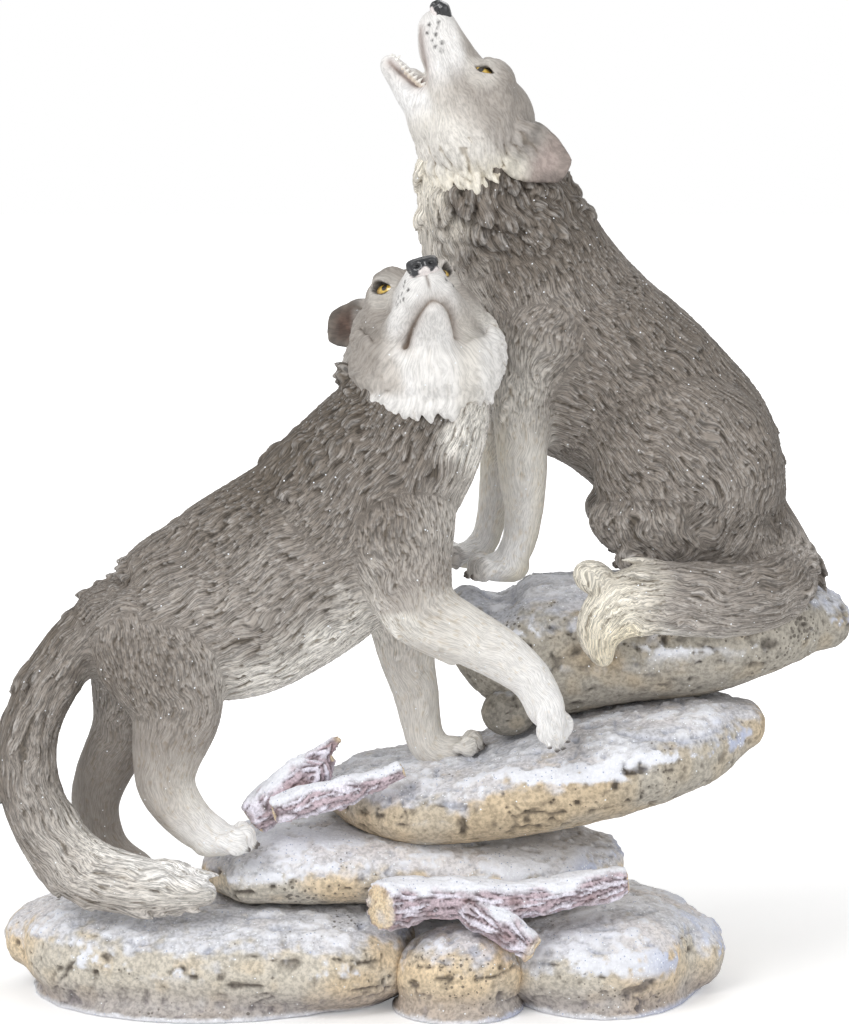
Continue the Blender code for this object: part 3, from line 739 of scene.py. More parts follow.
def head_skin(frame, jaw_open, ears, ear_faces, ruff, seed):
    """A head in one skin: skull, muzzle, jaw, lids, ears and the ring of long fur behind it."""
    masses, details = Clay(), Clay()
    ball(masses, (-1, 0, -2), (13, 12, 11.4), frame)
    ball(masses, (-4, 0, -13), (13, 11.5, 12.5), frame)
    Form([(4, 0, -4.2, 9.8), (11, 0, -4.8, 8.6), (17.5, 0, -5, 7.5), (22.5, 0, -4.9, 7),
          (27.2, 0, -4, 5.8)], 1.05, power=2.3, place=frame).build(masses)
    ball(masses, (4, 0, -15.5), (13, 11, 8.5), frame)
    for s in (-1, 1):
        ball(masses, (7.5, s * 5, 2.2), (6.8, 5.6, 6.8), frame)
        ball(masses, (-3, s * 9, -9), (12, 8.5, 12), frame)
        if ruff:
            ball(masses, (-9, s * 12, -14), (10, 10.5, 13), frame)
    if ruff:
        Form([(-11, -26, 173.5, 9.5, 12), (1, -27.5, 172.5, 11.5, 15.5), (10.5, -27, 173, 10.5, 13.5)],
             power=2.3).build(masses)
    hinge = Matrix.Translation((0, 0, -9))
    swing = frame @ hinge @ Matrix.Rotation(math.radians(jaw_open), 4, "Y") @ hinge.inverted()
    Form([(1, 0, -12.5, 9), (9, 0, -12.6, 6.6), (17, 0, -12.2, 5), (22, 0, -11.3, 4),
          (27, 0, -10.4, 3.2)], 1.25, place=swing).build(masses)
    for s, stations in zip((-1, 1), ears):
        ball(details, (24.5, s * 3.9, -7), (5.8, 3.7, 3.6), frame)
        Form([(24, s * 5.2, -7.6, 3.0), (17, s * 7.2, -9.0, 3.6), (9, s * 9.2, -10.6, 4.4)],
             place=frame).build(masses)
        ball(masses, (4, s * 8.6, 0.4), (7.5, 4.6, 6.4), frame)
        if ruff:
            ball(masses, (1, s * 9.6, -5), (9, 6.0, 9), frame)
            ball(masses, (-4, s * 12, -7), (9, 6.5, 10), frame)
        ball(details, (9.4, s * 7.2, 5.2), (5.2, 3.0, 2.4), frame, turn=24)
        side = (ear_faces[0], s * ear_faces[1], ear_faces[2])
        Form([(x, s * y, z, r) for x, y, z, r in stations], 0.36, side, frame).build(details)
    if jaw_open:
        Form([(6, 0, -9.6, 3.2), (14, 0, -8.6, 2.8), (20.5, 0, -8.4, 2)], 1.2, place=swing).build(details)
    dice = random.Random(seed)
    turn = np.array(frame)[:3, :3]
    rows = ((-1, 16.5, 15.2, 5), (-6, 18.5, 16, 6), (-11, 18.5, 16.5, 6)) if ruff else (
        (-5, 14.2, 14.5, 4.5), (-9, 14.2, 15.5, 5), (-13, 13, 16, 5))
    for x, wide, tall, length in rows:
        for g in range(-205, 30, 9):
            g = math.radians(g + dice.uniform(-5, 5))
            c, s = math.cos(g), math.sin(g)
            root = np.array((x + dice.uniform(-1.5, 1.5), c * wide * 0.86, s * tall * 0.86 - 12))
            outward = np.array((0.1, c, s))
            way = np.array((-0.9, 0.35 * c + dice.uniform(-0.3, 0.3), 0.3 * s))
            size = dice.uniform(0.75, 1.25)
            tuft(details, moved(frame, root[None])[0], turn @ way, length * size, 1.7 * size,
                 turn @ outward)
    for g in range(-172, 0, 7) if ruff else ():
        for row in range(4):
            g2 = math.radians(g + dice.uniform(-4, 4))
            drop = row / 3
            wide, deep = 19.5 - 1.5 * drop, 14.8 - 1.0 * drop
            outward = np.array((math.cos(g2) / wide, math.sin(g2) / deep, 0)) * 15
            root = np.array((math.cos(g2) * wide * 0.92, -26.5 + math.sin(g2) * deep * 0.92,
                             178 - 11.5 * drop + 4 * abs(math.cos(g2)) ** 2 + dice.uniform(-1, 1)))
            size = dice.uniform(0.75, 1.3)
            way = np.array((dice.uniform(-0.3, 0.3), 0.05, -1)) + (0.12 + 0.25 * (g2 > -1)) * outward
            tuft(details, root, way, 5 * size, 1.9 * size, outward)
    return two_stage(masses, details, HEAD_VOXEL, relax=3, first=0.9, soften=12), swing


def in_head(frame, points):
    return moved(frame.inverted(), points)


# The closed mouth seen from in front and slightly above, across and up from the skull's middle.
FROWN = ((-1.8, -12.2), (-0.4, -8.4), (1.6, -4.4), (3.2, -2.2), (4.8, -1.1), (6.4, -0.9), (8.2, -1.3),
         (9.7, -2.6), (10.9, -5.0), (11.7, -8.0), (11.9, -9.8))
# The edge of the open mouth from the side, from the tip of the jaw round its corner to the lip.
JAW_LINE = ((25.6, -19.6), (23, -18.8), (19.5, -17.4), (16.6, -15.9), (17.4, -13.8), (20.5, -11.8),
            (25, -10.3), (29.5, -8.6))
WHISKERS = ((29.5, -5.3), (28.9, -2.9), (27.8, -6.9), (27.8, -3.6), (26.4, -5.1), (25.5, -6.6),
            (23.7, -4.7), (23.6, -6.6), (21.8, -5.6))


def head(name, frame, jaw_open, ears, ear_faces, ruff, tilt, squint, seed, material, inner_ear):
    """Carves and paints a head. Returns the frame of its jaw, and how far out the lids lie."""
    mesh, swing = head_skin(frame, jaw_open, ears, ear_faces, ruff, seed)
    edges = edges_of(mesh)
    points, normals = read(mesh), read(mesh, "normal")
    local = in_head(frame, points)
    x, y, z = local.T
    wide = np.abs(y)

    # Hair: short on the face, long on the ruff and cheeks, lying away from the nose.
    guide = Form([(34, 0, -4, 4), (24, 0, -6, 8), (10, 0, -8, 15), (0, 0, -9, 20), (-16, 0, -11, 24)],
                 1.0, place=frame)
    angle, way, _, _, tall = guide.unbent(points)
    wave = noise(points / 7, seed) * 1.2 + noise(points / 3, seed + 1) * 0.5
    angle = angle + wave / np.maximum(tall, 6)
    long_hair = smooth(4, -9, x + 0.35 * (z + 6))
    short, short_tone = locks(angle, way + wave + 200, guide.size, 1.25, 3.6, seed + 2)
    full, tone = locks(angle, way + wave + 200, guide.size, 2.1, 8.0, seed + 3)
    relief = short * (1 - long_hair) * 0.12 + full * long_hair * 0.85
    tone = short_tone * (1 - long_hair) + tone * long_hair
    bare = smooth(14, 22, x)
    relief *= 1 - 0.75 * bare

    # Ears: a hollow on the side that faces the wolf's front.
    in_ear, ear, reach = (np.zeros(len(points)) for _ in range(3))
    for s, stations in zip((-1, 1), ears):
        form = Form([(a, s * b, c, r) for a, b, c, r in stations], 0.36,
                    (ear_faces[0], s * ear_faces[1], ear_faces[2]), frame)
        g, _, out, share, _ = form.unbent(points)
        mine = smooth(1.45, 1.05, out) * smooth(0.05, 0.3, share)
        ear = np.maximum(ear, mine)
        reach = np.maximum(reach, share * mine)
        side = np.clip(1 - np.abs(np.sin(g)) ** 2.2, 0, 1)
        in_ear = np.maximum(in_ear, mine * side * smooth(0.35, 0.7, np.cos(g)) * smooth(1.05, 0.8, share))
    depth = relief * (1 - 0.8 * ear * smooth(0.4, 0.7, reach)) - 1.5 * in_ear

    # The line of the mouth, the groove below the nose, and the hollows before the eyes.
    mirrored = np.stack([x, wide, z], axis=1)
    origin = np.array(frame)[:3, 3]
    level = np.stack([points[:, 0] - origin[0], (points - origin) @ np.array((0, 0.139, 0.99)),
                      np.zeros(len(points))], axis=1)
    if jaw_open:
        gap, along_line = near_curve(mirrored * np.array((1, 0, 1)), [(u, 0, v) for u, v in JAW_LINE])
        line, shade = (np.exp(-((gap / width) ** 2)) * smooth(1.5, 3, wide) for width in (0.7, 1.9))
        depth -= 0.5 * line
    else:
        gap, along_line = near_curve(level, [(u, v, 0) for u, v in FROWN])
        near = smooth(7, 10, x) * smooth(-0.1, 0.2, -normals[:, 1])
        line, shade = (np.exp(-((gap / width) ** 2)) * near for width in (0.62, 2.0))
        depth -= 0.9 * line + 0.5 * shade
    groove = np.exp(-((y / 0.5) ** 2)) * smooth(27.5, 29, x) * smooth(-8.5, -6, z) * smooth(0, -2.5, z)
    depth -= 0.5 * groove
    crease, _ = near_curve(mirrored, [(17, 6.4, 1.2), (21, 6.2, 0.2), (25, 5.6, -0.6)])
    depth -= 0.35 * np.exp(-((crease / 1.6) ** 2))
    folds, _ = near_curve(mirrored, [(13, 9.2, -6), (6, 12.5, -9), (-2, 16.5, -12)])
    depth -= 0.2 * np.exp(-((folds / 1.5) ** 2))
    inside, along, lift, out = eye_opening(mirrored, tilt, squint)
    skin = float(np.median(out[inside > 0.2]))
    depth -= 1.9 * smooth(-0.1, 0.35, inside)
    rim = np.exp(-(((inside + 0.55) / 0.5) ** 2))
    depth += rim * (0.3 + 0.5 * smooth(-0.5, 0.8, lift))
    set_points(mesh, points + normals * (depth - 0.3 * long_hair)[:, None])
    hollow = hollows(mesh, 8)

    # Paint.
    wander = 0.5 * fbm(local / 6, 3, seed + 5)
    colour = np.tile(TAUPE, (len(points), 1))
    colour = mix(colour, FAWN, smooth(-3, -8, z + 2 * wander))
    colour = mix(colour, FLANK, 0.8 * smooth(2, 8, z + wander) * smooth(16, 4, x))
    muzzle = smooth(11, 20, x) * smooth(1.8, -1.4, z - 0.16 * (x - 20) + wander)
    colour = mix(colour, FLANK, 0.5 * smooth(12, 3, x) * smooth(2, -3, z) * ruff)
    colour = mix(colour, WHITE, muzzle)
    if ruff:
        u, v = level[:, 0] + wander, level[:, 1] + wander
        chin = smooth(-9, -13, z + wander) * smooth(9.5, 5.5, wide - 0.25 * np.clip(-z - 12, 0, 20))
        colour = mix(colour, WHITE, chin)
        bib = smooth(-9, -2, u + 0.45 * (v + 12)) * smooth(-8, -14, v)
        colour = mix(colour, PALE, np.maximum(bib, smooth(-23, -27, v)))
        right = smooth(10, 14, u) * smooth(2, -6, v)
        colour = mix(colour, CREAM, right)
        colour = mix(colour, PALE, smooth(16, 20, u) * smooth(-4, -10, v))
        strip = np.exp(-((((u - 13.5) + 0.5 * (v + 1)) / 2.2) ** 2)) * smooth(-12, -6, v)
        colour = mix(colour, TAUPE, 0.7 * strip)
        cheek = smooth(-5, -9, u - 0.2 * (v + 10)) * smooth(-24, -17, v)
        colour = mix(colour, mix(np.tile(TAUPE, (len(points), 1)), FLANK, 0.6), 0.9 * cheek)
    else:
        colour = mix(colour, CREAM, smooth(-9, -16, z + 0.35 * (x - 10) * (x < 10) + 2 * wander))
        colour = mix(colour, WHITE, smooth(-13, -16, z + wander) * smooth(6, 14, x))
        colour = mix(colour, IVORY, smooth(-5, -12, x + 0.25 * (z + 14) + 2 * wander) * smooth(4, -4, z))
    around = np.sqrt(((x - 11.6) / 6.5) ** 2 + ((wide - 8.5) / 5) ** 2 + ((z - 1.3) / 4.6) ** 2)
    colour = mix(colour, CREAM, 0.45 * smooth(1.3, 0.7, around))
    strokes = brushed(colour, relief / (0.12 + 0.5 * long_hair), tone, wash=0.62, dry=0.3)
    colour = mix(colour, strokes, 0.22 + 0.6 * long_hair)
    colour = mix(colour, colour * np.array((0.34, 0.29, 0.23)), 0.8 * smooth(0.05, 0.38, hollow))
    colour = mix(colour, SOOT, 0.85 * smooth(-0.22 - 0.2 * ruff, 0.1, inside))
    if jaw_open:
        corner = smooth(1.0, 0.4, np.abs(along_line - 0.35) * 2.2)
        colour = mix(colour, rgb(172, 156, 150), 0.55 * shade)
        colour = mix(colour, rgb(112, 92, 82), line * (0.3 + 0.5 * corner))
    else:
        soft = 0.7 + 0.3 * noise(points / 2.5, seed + 30)
        corner = smooth(0.5, 0.12, along_line) + smooth(0.62, 0.9, along_line)
        colour = mix(colour, rgb(150, 134, 122), 0.42 * shade)
        colour = mix(colour, rgb(98, 78, 62), line * soft * (0.35 + 0.5 * np.clip(corner, 0, 1)))
    colour = mix(colour, rgb(110, 96, 86), 0.7 * groove)
    flap = mix(np.tile(BACK, (len(points), 1)), inner_ear, np.maximum(in_ear, 0.6 * (not ruff)))
    flap = mix(flap, flap * 0.55, 0.8 * smooth(0.1, 0.6, 0.7 * noise(local / 2.2, seed + 31) + 0.3 * ruff))
    colour = mix(colour, flap, ear * smooth(0.40, 0.68, reach + 0.25 * wander + 0.12 * ruff))
    # A darker band across each ear near its base is painted shade where the ear meets the head.
    colour = mix(colour, colour * 0.6, 0.8 * np.exp(-(((reach - 0.3) / 0.16) ** 2)) * ear)
    for a, b in WHISKERS:
        spot = np.hypot(x - a, z - b + 0.3 * noise(local[:, :1] * np.ones(3) + a, 3))
        colour = mix(colour, SOOT, 0.85 * smooth(0.62, 0.34, spot) * (wide > 2.4) * muzzle)
    strand = np.stack([guide.size * np.cos(angle), guide.size * np.sin(angle), way], axis=1)
    piece(name, mesh, material, colour, strand=strand)
    return swing, skin


def eyes(name, frame, tilt, squint, skin, material):
    """Amber eyes with a dark pupil, set between the lids, the shadow of the upper lid painted across
    their tops. skin is how far out the lids lie.
    """
    clay = Clay()
    along, up, out = eye_axes(tilt)
    for s in (-1, 1):
        flip = np.array((1, s, 1))
        centre = (EYE_AT + out * (skin - 3.0)) * flip
        turn = Matrix((along * flip, up * flip, out * flip)).transposed().to_4x4()
        ball(clay, (0, 0, 0), (4.1, 2.9, 2.9), frame @ Matrix.Translation(centre) @ turn)
    mesh = remeshed(clay.mesh(), 0.22, 1)
    local = in_head(frame, read(mesh))
    mirrored = np.stack([local[:, 0], np.abs(local[:, 1]), local[:, 2]], axis=1)
    inside, along, lift, _ = eye_opening(mirrored, tilt, squint)
    pupil = np.hypot(along + 1.0, lift - 0.5 + 0.5 * squint)
    amber = mix(np.tile(rgb(214, 176, 72), (len(local), 1)), rgb(160, 122, 48), smooth(1.2, 3.0, pupil))
    amber = mix(amber, rgb(238, 216, 138), smooth(0.0, 0.8, noise(local * 3, 4)) * 0.5)
    amber = mix(amber, SOOT, smooth(1.05, 0.75, pupil))
    amber = mix(amber, rgb(48, 40, 30), 0.9 * smooth(0.3, -0.1, inside))
    # The top of each eye is darkened as a painted shadow of the upper lid.
    amber = mix(amber, rgb(52, 44, 32), 0.85 * smooth(0.7 - 0.5 * squint, 1.4 - 0.5 * squint, lift))
    piece(name, mesh, material, amber, strand=local)


def nose(name, frame, material):
    """A blocky black nose with two nostrils."""
    clay = Clay()
    Form([(29.8, 0, -1.0, 2.5, 3.9), (31.4, 0, -1.0, 2.8, 4.4), (32.2, 0, -1.2, 2.4, 4.1)], place=frame,
         power=4).build(clay)
    ball(clay, (30.8, 0, -2.6), (2.2, 1.6, 2.2), frame)
    mesh = remeshed(clay.mesh(), 0.28, 2)
    points, normals = read(mesh), read(mesh, "normal")
    local = in_head(frame, points)
    x, wide, z = local[:, 0], np.abs(local[:, 1]), local[:, 2]
    hole = np.exp(-(((wide - 2.0) / 0.85) ** 2 + ((z + 1.0) / 0.7) ** 2)) * smooth(30.5, 32, x)
    hole += 0.7 * np.exp(-(((x - 31.5) / 1.0) ** 2 + ((z + 1.7) / 0.5) ** 2)) * (wide > 2.4)
    split = 0.35 * np.exp(-((local[:, 1] / 0.35) ** 2)) * smooth(0.5, -1, z)
    rough = 0.06 * noise(local * 1.6, 8)
    set_points(mesh, points - normals * (1.2 * hole + split + rough)[:, None])
    colour = mix(np.tile(rgb(30, 31, 36), (len(x), 1)), rgb(12, 12, 14), np.clip(hole, 0, 1))
    colour = mix(colour, rgb(74, 76, 82), 0.5 * smooth(0.1, 0.6, noise(local * 0.9, 5)) * smooth(0, 2, z))
    edge = smooth(-2.3, -3.0, z + 1.5 * noise(local * 0.7, 6) - 0.6 * (wide < 1.2))
    colour = mix(colour, rgb(236, 228, 226), edge)
    piece(name, mesh, material, colour, strand=local)


# How far forward and aside each lower tooth stands, and its height.
TEETH = ((28.4, 0.6, 0.6), (27.8, 1.5, 0.8), (26.6, 2.3, 1.6), (25.1, 2.7, 0.6), (23.8, 3.1, 0.9),
         (22.4, 3.4, 0.7), (21, 3.7, 1.0), (19.6, 3.9, 0.8), (18.2, 4.2, 1.1), (16.8, 4.5, 0.8),
         (15.4, 4.8, 0.9), (14, 5, 0.7))


def teeth(name, swing, material):
    """The small teeth along the open lower jaw, with a longer one near the front."""
    clay = Clay()
    for s in (-1, 1):
        for x, y, tall in TEETH:
            Form([(x, s * y, -9.4, 0.7), (x + 0.1, s * y, -8.4, 0.55), (x, s * y, -8.2 + tall, 0.2)],
                 0.8, place=swing).build(clay)
    mesh = remeshed(clay.mesh(), 0.25, 1)
    local = in_head(swing, read(mesh))
    colour = mix(np.tile(rgb(244, 242, 236), (len(local), 1)), rgb(206, 192, 176),
                 smooth(-8.2, -9.2, local[:, 2]))
    piece(name, mesh, material, colour, strand=local)


STONE, OCHRE, TAN, PIT = rgb(204, 197, 184), rgb(226, 200, 160), rgb(212, 196, 170), rgb(84, 76, 68)
SNOW, FROST, MAUVE = rgb(244, 246, 253), rgb(222, 228, 244), rgb(158, 152, 156)


def stone(name, forms, balls, seed, material, warmth=0.0, snow=0.0, dark=0.0):
    """A boulder: rounded, pitted and cracked, ochre in places, with snow where it faces up. Shade is
    painted on too: darker faces below and away from the front, and bluer snow on faces to the right.
    """
    clay = Clay()
    for form in forms:
        form.build(clay)
    for centre, radii in balls:
        ball(clay, centre, radii)
    mesh = remeshed(remeshed(clay.mesh(), 1.4, 5), ROCK_VOXEL, 1)
    p, n = read(mesh), read(mesh, "normal")
    # How far each face turns to the front; faces turned away get painted shade further down.
    front = smooth(0.2, -0.5, n[:, 1])
    layered = p * np.array((1 / 16, 1 / 16, 1 / 3.2))
    strata = np.abs(noise(layered, seed + 1))
    crack = smooth(0.06, 0.0, strata) * smooth(-0.2, 0.3, noise(p / 11, seed + 2))
    split = smooth(0.05, 0.0, np.abs(noise(p / np.array((6, 6, 13)), seed + 3)))
    split *= smooth(0.15, 0.5, noise(p / 15, seed + 4))
    pit = smooth(0.42, 0.66, noise(p / np.array((3.4, 3.4, 2.4)), seed + 5))
    pit *= smooth(-0.35, 0.25, noise(p / 9, seed + 6))
    chips = smooth(0.52, 0.7, noise(p / 1.7, seed + 7))
    wander = fbm(p / 7, 3, seed + 8)
    grain = 0.5 * fbm(p / 2.2, 3, seed + 18)
    drift = smooth(0.5, 0.9, n[:, 2] * 0.85 + 0.8 * wander + 1.3 * grain + snow - 0.3)
    patch = smooth(0.45, 0.62, noise(p / np.array((22, 22, 5)), seed + 9) + 0.9 * grain + snow)
    drift = np.maximum(drift, patch * smooth(-0.45, 0.1, n[:, 2])) * smooth(-0.4, 0.2, n[:, 2])
    above = smooth(2, 11, p[:, 2])
    foot = smooth(1.5, 0.8, p[:, 2] + 0.5 * noise(p / 2.5, seed + 19))
    drift = np.maximum(drift * above, 0.8 * foot)
    lumps = 0.9 * noise(p / 19, seed + 10) + 0.4 * fbm(p / 6, 2, seed + 11)
    bare = 1 - 0.8 * drift
    depth = lumps - bare * (1.0 * pit + 0.8 * crack + 0.7 * split + 0.35 * chips)
    depth += drift * (0.5 + 0.25 * noise(p / 1.6, seed + 12)) + 0.12 * noise(p / 1.1, seed + 13)
    depth *= smooth(0.3, 2.5, p[:, 2])
    p = p + n * (depth - 0.4 + 0.5 * foot)[:, None]
    p[:, 2] = np.maximum(p[:, 2], 0.02)
    set_points(mesh, p)
    hollow = hollows(mesh, 8) * (1 - foot)
    warm = smooth(-0.1, 0.45, fbm(p / 21, 3, seed + 14) + warmth)
    colour = mix(np.tile(STONE, (len(p), 1)), OCHRE, 0.68 * warm)
    colour = mix(colour, TAN, smooth(0.1, 0.6, noise(p / 5, seed + 15)) * 0.5)
    colour = colour * (1 + 0.13 * fbm(p / 3, 3, seed + 16))[:, None]
    colour = mix(colour, PIT, 0.75 * np.clip(pit + crack + 0.8 * split + 0.6 * chips, 0, 1))
    colour = mix(colour, PIT, 0.7 * smooth(0.12, 0.5, hollow) * bare)
    # Painted shade: faces that turn downwards are darker.
    colour = mix(colour, colour * 0.8, smooth(0.2, -0.8, n[:, 2]) * 0.5)
    colour = colour * (1 - dark)
    colour = mix(colour, MAUVE, 0.6 * (1 - above))
    dusting = smooth(0.3, 0.8, n[:, 2] + 0.5 * wander + 0.9 * grain + snow) * 0.6 * above
    colour = mix(colour, FROST, dusting * bare)
    # Snow on faces that turn to the right is tinted blue as painted shade.
    snow_with_shade = mix(np.tile(SNOW, (len(p), 1)), rgb(194, 204, 232), 0.85 * smooth(0.2, 0.8, n[:, 0]))
    colour = mix(colour, snow_with_shade * (0.94 + 0.06 * noise(p / 2, seed + 17))[:, None], drift)
    # Painted shade: faces that turn away from the front are darker.
    colour = mix(colour, colour * 0.9, 1 - front)
    piece(name, mesh, material, colour, strand=p, snow=np.clip(drift + 0.35 * dusting, 0, 1))


def boulders(material):
    z = LOWER_RISE / 2 - 1
    stone("lower_left_boulder", [
        Form([(-107, -5, z + 1, 9, 17), (-101, -6, z + 1, 12, 28), (-90, -7, z, 14.5, 36),
              (-72, -7, z, 15, 41), (-50, -7, z, 15, 44), (-25, -7, z, 15, 44),
              (-14, -7, z, 14, 40)], power=2.8)], [((-60, -7, 0.5), (49, 45, 7.5))], 100, material,
        warmth=0.0, snow=0.04)
    stone("lower_right_boulder", [
        Form([(30, -8, z - 1.5, 13, 37), (42, -8, z - 1, 14, 40), (56, -7, z - 1, 14, 38),
              (67, -6, z - 2, 12.5, 30), (74, -6, z - 3, 9.5, 18)], power=2.8),
        Form([(-20, 2, z - 2, 12, 30), (40, 2, z - 2, 12, 30)], power=2.6)],
        [((48, -7, 0.5), (27.4, 41.4, 7.5))], 130, material, warmth=0.2, snow=0.12)
    stone("front_boulder", [], [((9, -37, z - 2), (18, 15, 13.5)), ((9, -33, 0.5), (18.5, 20, 6))], 160,
          material, warmth=0.4, snow=-0.05)
    z = LOWER_RISE + SECOND_RISE / 2
    stone("second_boulder", [
        Form([(-55, -10, z - 1, 6.5, 18), (-50, -10, z - 0.5, 9, 26), (-38, -9, z + 1, 10.5, 30),
              (-15, -6, z + 1.5, 11, 32), (15, -4, z - 0.5, 10.5, 32), (38, -2, z - 1.5, 9.5, 29),
              (49, -2, z - 1.5, 7, 20)], power=2.4)], [], 190, material, warmth=0.0, snow=0.3)
    z = THIRD_TOP
    stone("third_boulder", [
        Form([(-24, -4, z - 9, 6, 16), (-17, -4, z - 9.5, 9, 27), (-4, -4, z - 10.5, 11, 35),
              (14, -4, z - 8.5, 12.5, 39), (33, -4, z - 4.5, 14, 40), (55, -4, z + 0.5, 13.5, 38),
              (72, -4, z + 5.5, 12, 31), (81, -4, z + 8, 10, 23), (87, -4, z + 9.5, 7, 14)],
             power=2.5)], [], 220, material, warmth=0.35, snow=0.05, dark=0.17)
    z = SLAB_TOP
    stone("top_boulder", [
        Form([(12, 12, z - 10, 7, 16), (18, 12, z - 16, 14, 25), (29, 12, z - 19, 19, 31),
              (50, 12, z - 18, 18, 33), (75, 12, z - 16, 16, 33), (94, 12, z - 13, 13, 29),
              (104, 12, z - 12, 11, 22), (110, 12, z - 12.5, 8, 14)], power=2.6)],
        [], 250, material, warmth=-0.45, snow=-0.04, dark=0.3)
    stone("dark_stone", [], [((23, -12, THIRD_TOP + 14), (8, 8, 7))], 280, material, warmth=-0.8,
          snow=-0.6, dark=0.5)


def driftwood(name, forms, seed, material, snow=0.0):
    """A piece of driftwood: barky and grooved, snow on top, with pale sawn ends."""
    clay = Clay()
    for form in forms:
        form.build(clay)
    mesh = remeshed(clay.mesh(), WOOD_VOXEL, 2)
    p, n = read(mesh), read(mesh, "normal")
    laid = [form.unbent(p) for form in forms]
    nearest = np.argmin([l[2] for l in laid], axis=0)
    angle, way, out, share, tall = (np.choose(nearest, [l[k] for l in laid]) for k in range(5))
    along = np.stack([angle * tall / 1.1, way / 7, nearest * 9.0], axis=1)
    bark = fbm(along + 0.5 * noise(p / 6, seed)[:, None], 3, seed + 1)
    groove = smooth(0.22, 0.0, np.abs(bark))
    knot = smooth(0.5, 0.8, noise(p / 4.5, seed + 2))
    end = smooth(0.2, 0.9, np.maximum(0, np.abs(share - 0.5) - 0.4999) * 1e4) * smooth(
        0.55, 0.8, np.abs(np.einsum("ij,ij->i", n, unit(np.choose(nearest[:, None], [
            np.broadcast_to(form.t[-1], p.shape) for form in forms])))))
    tip = smooth(0.9, 0.98, share) * (nearest == 1)
    drift = smooth(0.5, 0.95, n[:, 2] + 0.55 * fbm(p / 5, 2, seed + 3) + snow) * (1 - end) * (1 - tip)
    depth = 0.7 * bark - 0.9 * groove + 0.9 * knot + 0.9 * noise(p / 7, seed + 4)
    depth += 0.5 * noise(p / 2.4, seed + 7)
    set_points(mesh, p + n * (depth * (1 - 0.6 * end) * (1 - 0.5 * drift) + 0.5 * drift)[:, None])
    hollow = hollows(mesh, 6)
    colour = mix(np.tile(rgb(200, 182, 190), (len(p), 1)), rgb(232, 228, 240), smooth(-0.2, 0.35, bark))
    colour = mix(colour, rgb(128, 92, 84), smooth(0.1, 0.5, noise(p / 4, seed + 5)) * 0.45)
    colour = mix(colour, rgb(70, 48, 44), 0.8 * np.clip(groove * 0.7 + smooth(0.12, 0.5, hollow), 0, 1))
    rings = 0.5 + 0.5 * np.sin(out * tall * 5.5 + 2 * noise(p / 3, seed + 6))
    cut = mix(np.tile(rgb(240, 222, 190), (len(p), 1)), rgb(206, 174, 134), rings * 0.45)
    cut = mix(cut, rgb(120, 96, 84), 0.5 * smooth(0.25, 0.6, noise(p / 1.6, seed + 8)))
    cut = mix(cut, FROST, 0.4 * smooth(0.0, 0.6, noise(p / 4, seed + 9)))
    cut = mix(cut, rgb(150, 120, 100), smooth(0.85, 1.1, out) * 0.5)
    colour = mix(colour, cut, np.maximum(end, 0.85 * tip))
    colour = mix(colour, np.tile(SNOW, (len(p), 1)), drift)
    piece(name, mesh, material, colour, strand=p, snow=drift)


def woods(material):
    sawn = dict(blunt=SAWN_BLUNTNESS)
    z = SECOND_TOP
    driftwood("split_log", [
        Form([(-46, -28, z + 9, 4.6), (-37, -28, z + 16, 5.8), (-30, -27, z + 21.5, 5.2),
              (-26, -27, z + 26, 2.6)], 0.85, power=2.6, **sawn),
        Form([(-36, -28, z + 18, 3.4), (-29, -28, z + 25, 2.8), (-23, -28, z + 31, 1.0)], 0.7, power=3,
             **sawn)],
        300, material, snow=0.2)
    driftwood("twig", [
        Form([(-40, -33, z + 12, 3.6), (-24, -36, z + 17.5, 3.6), (-14, -36, z + 20, 2.8),
              (-6, -35, z + 23.5, 2.2)], **sawn)], 310, material, snow=0.2)
    z = LOWER_RISE
    driftwood("forked_log", [
        Form([(-11, -47, z + 4, 6.4), (-6, -44, z + 4.4, 6.2), (9, -43, z + 5, 5.6),
              (27, -42, z + 4.5, 5), (44, -38, z + 7, 4.4), (54, -36, z + 8.5, 3.8)], power=2.4, **sawn),
        Form([(12, -44, z + 3, 5), (22, -47, z - 2.5, 4.4), (29, -49, z - 7, 3.6)], power=2.4, **sawn)],
        320, material, snow=0.2)


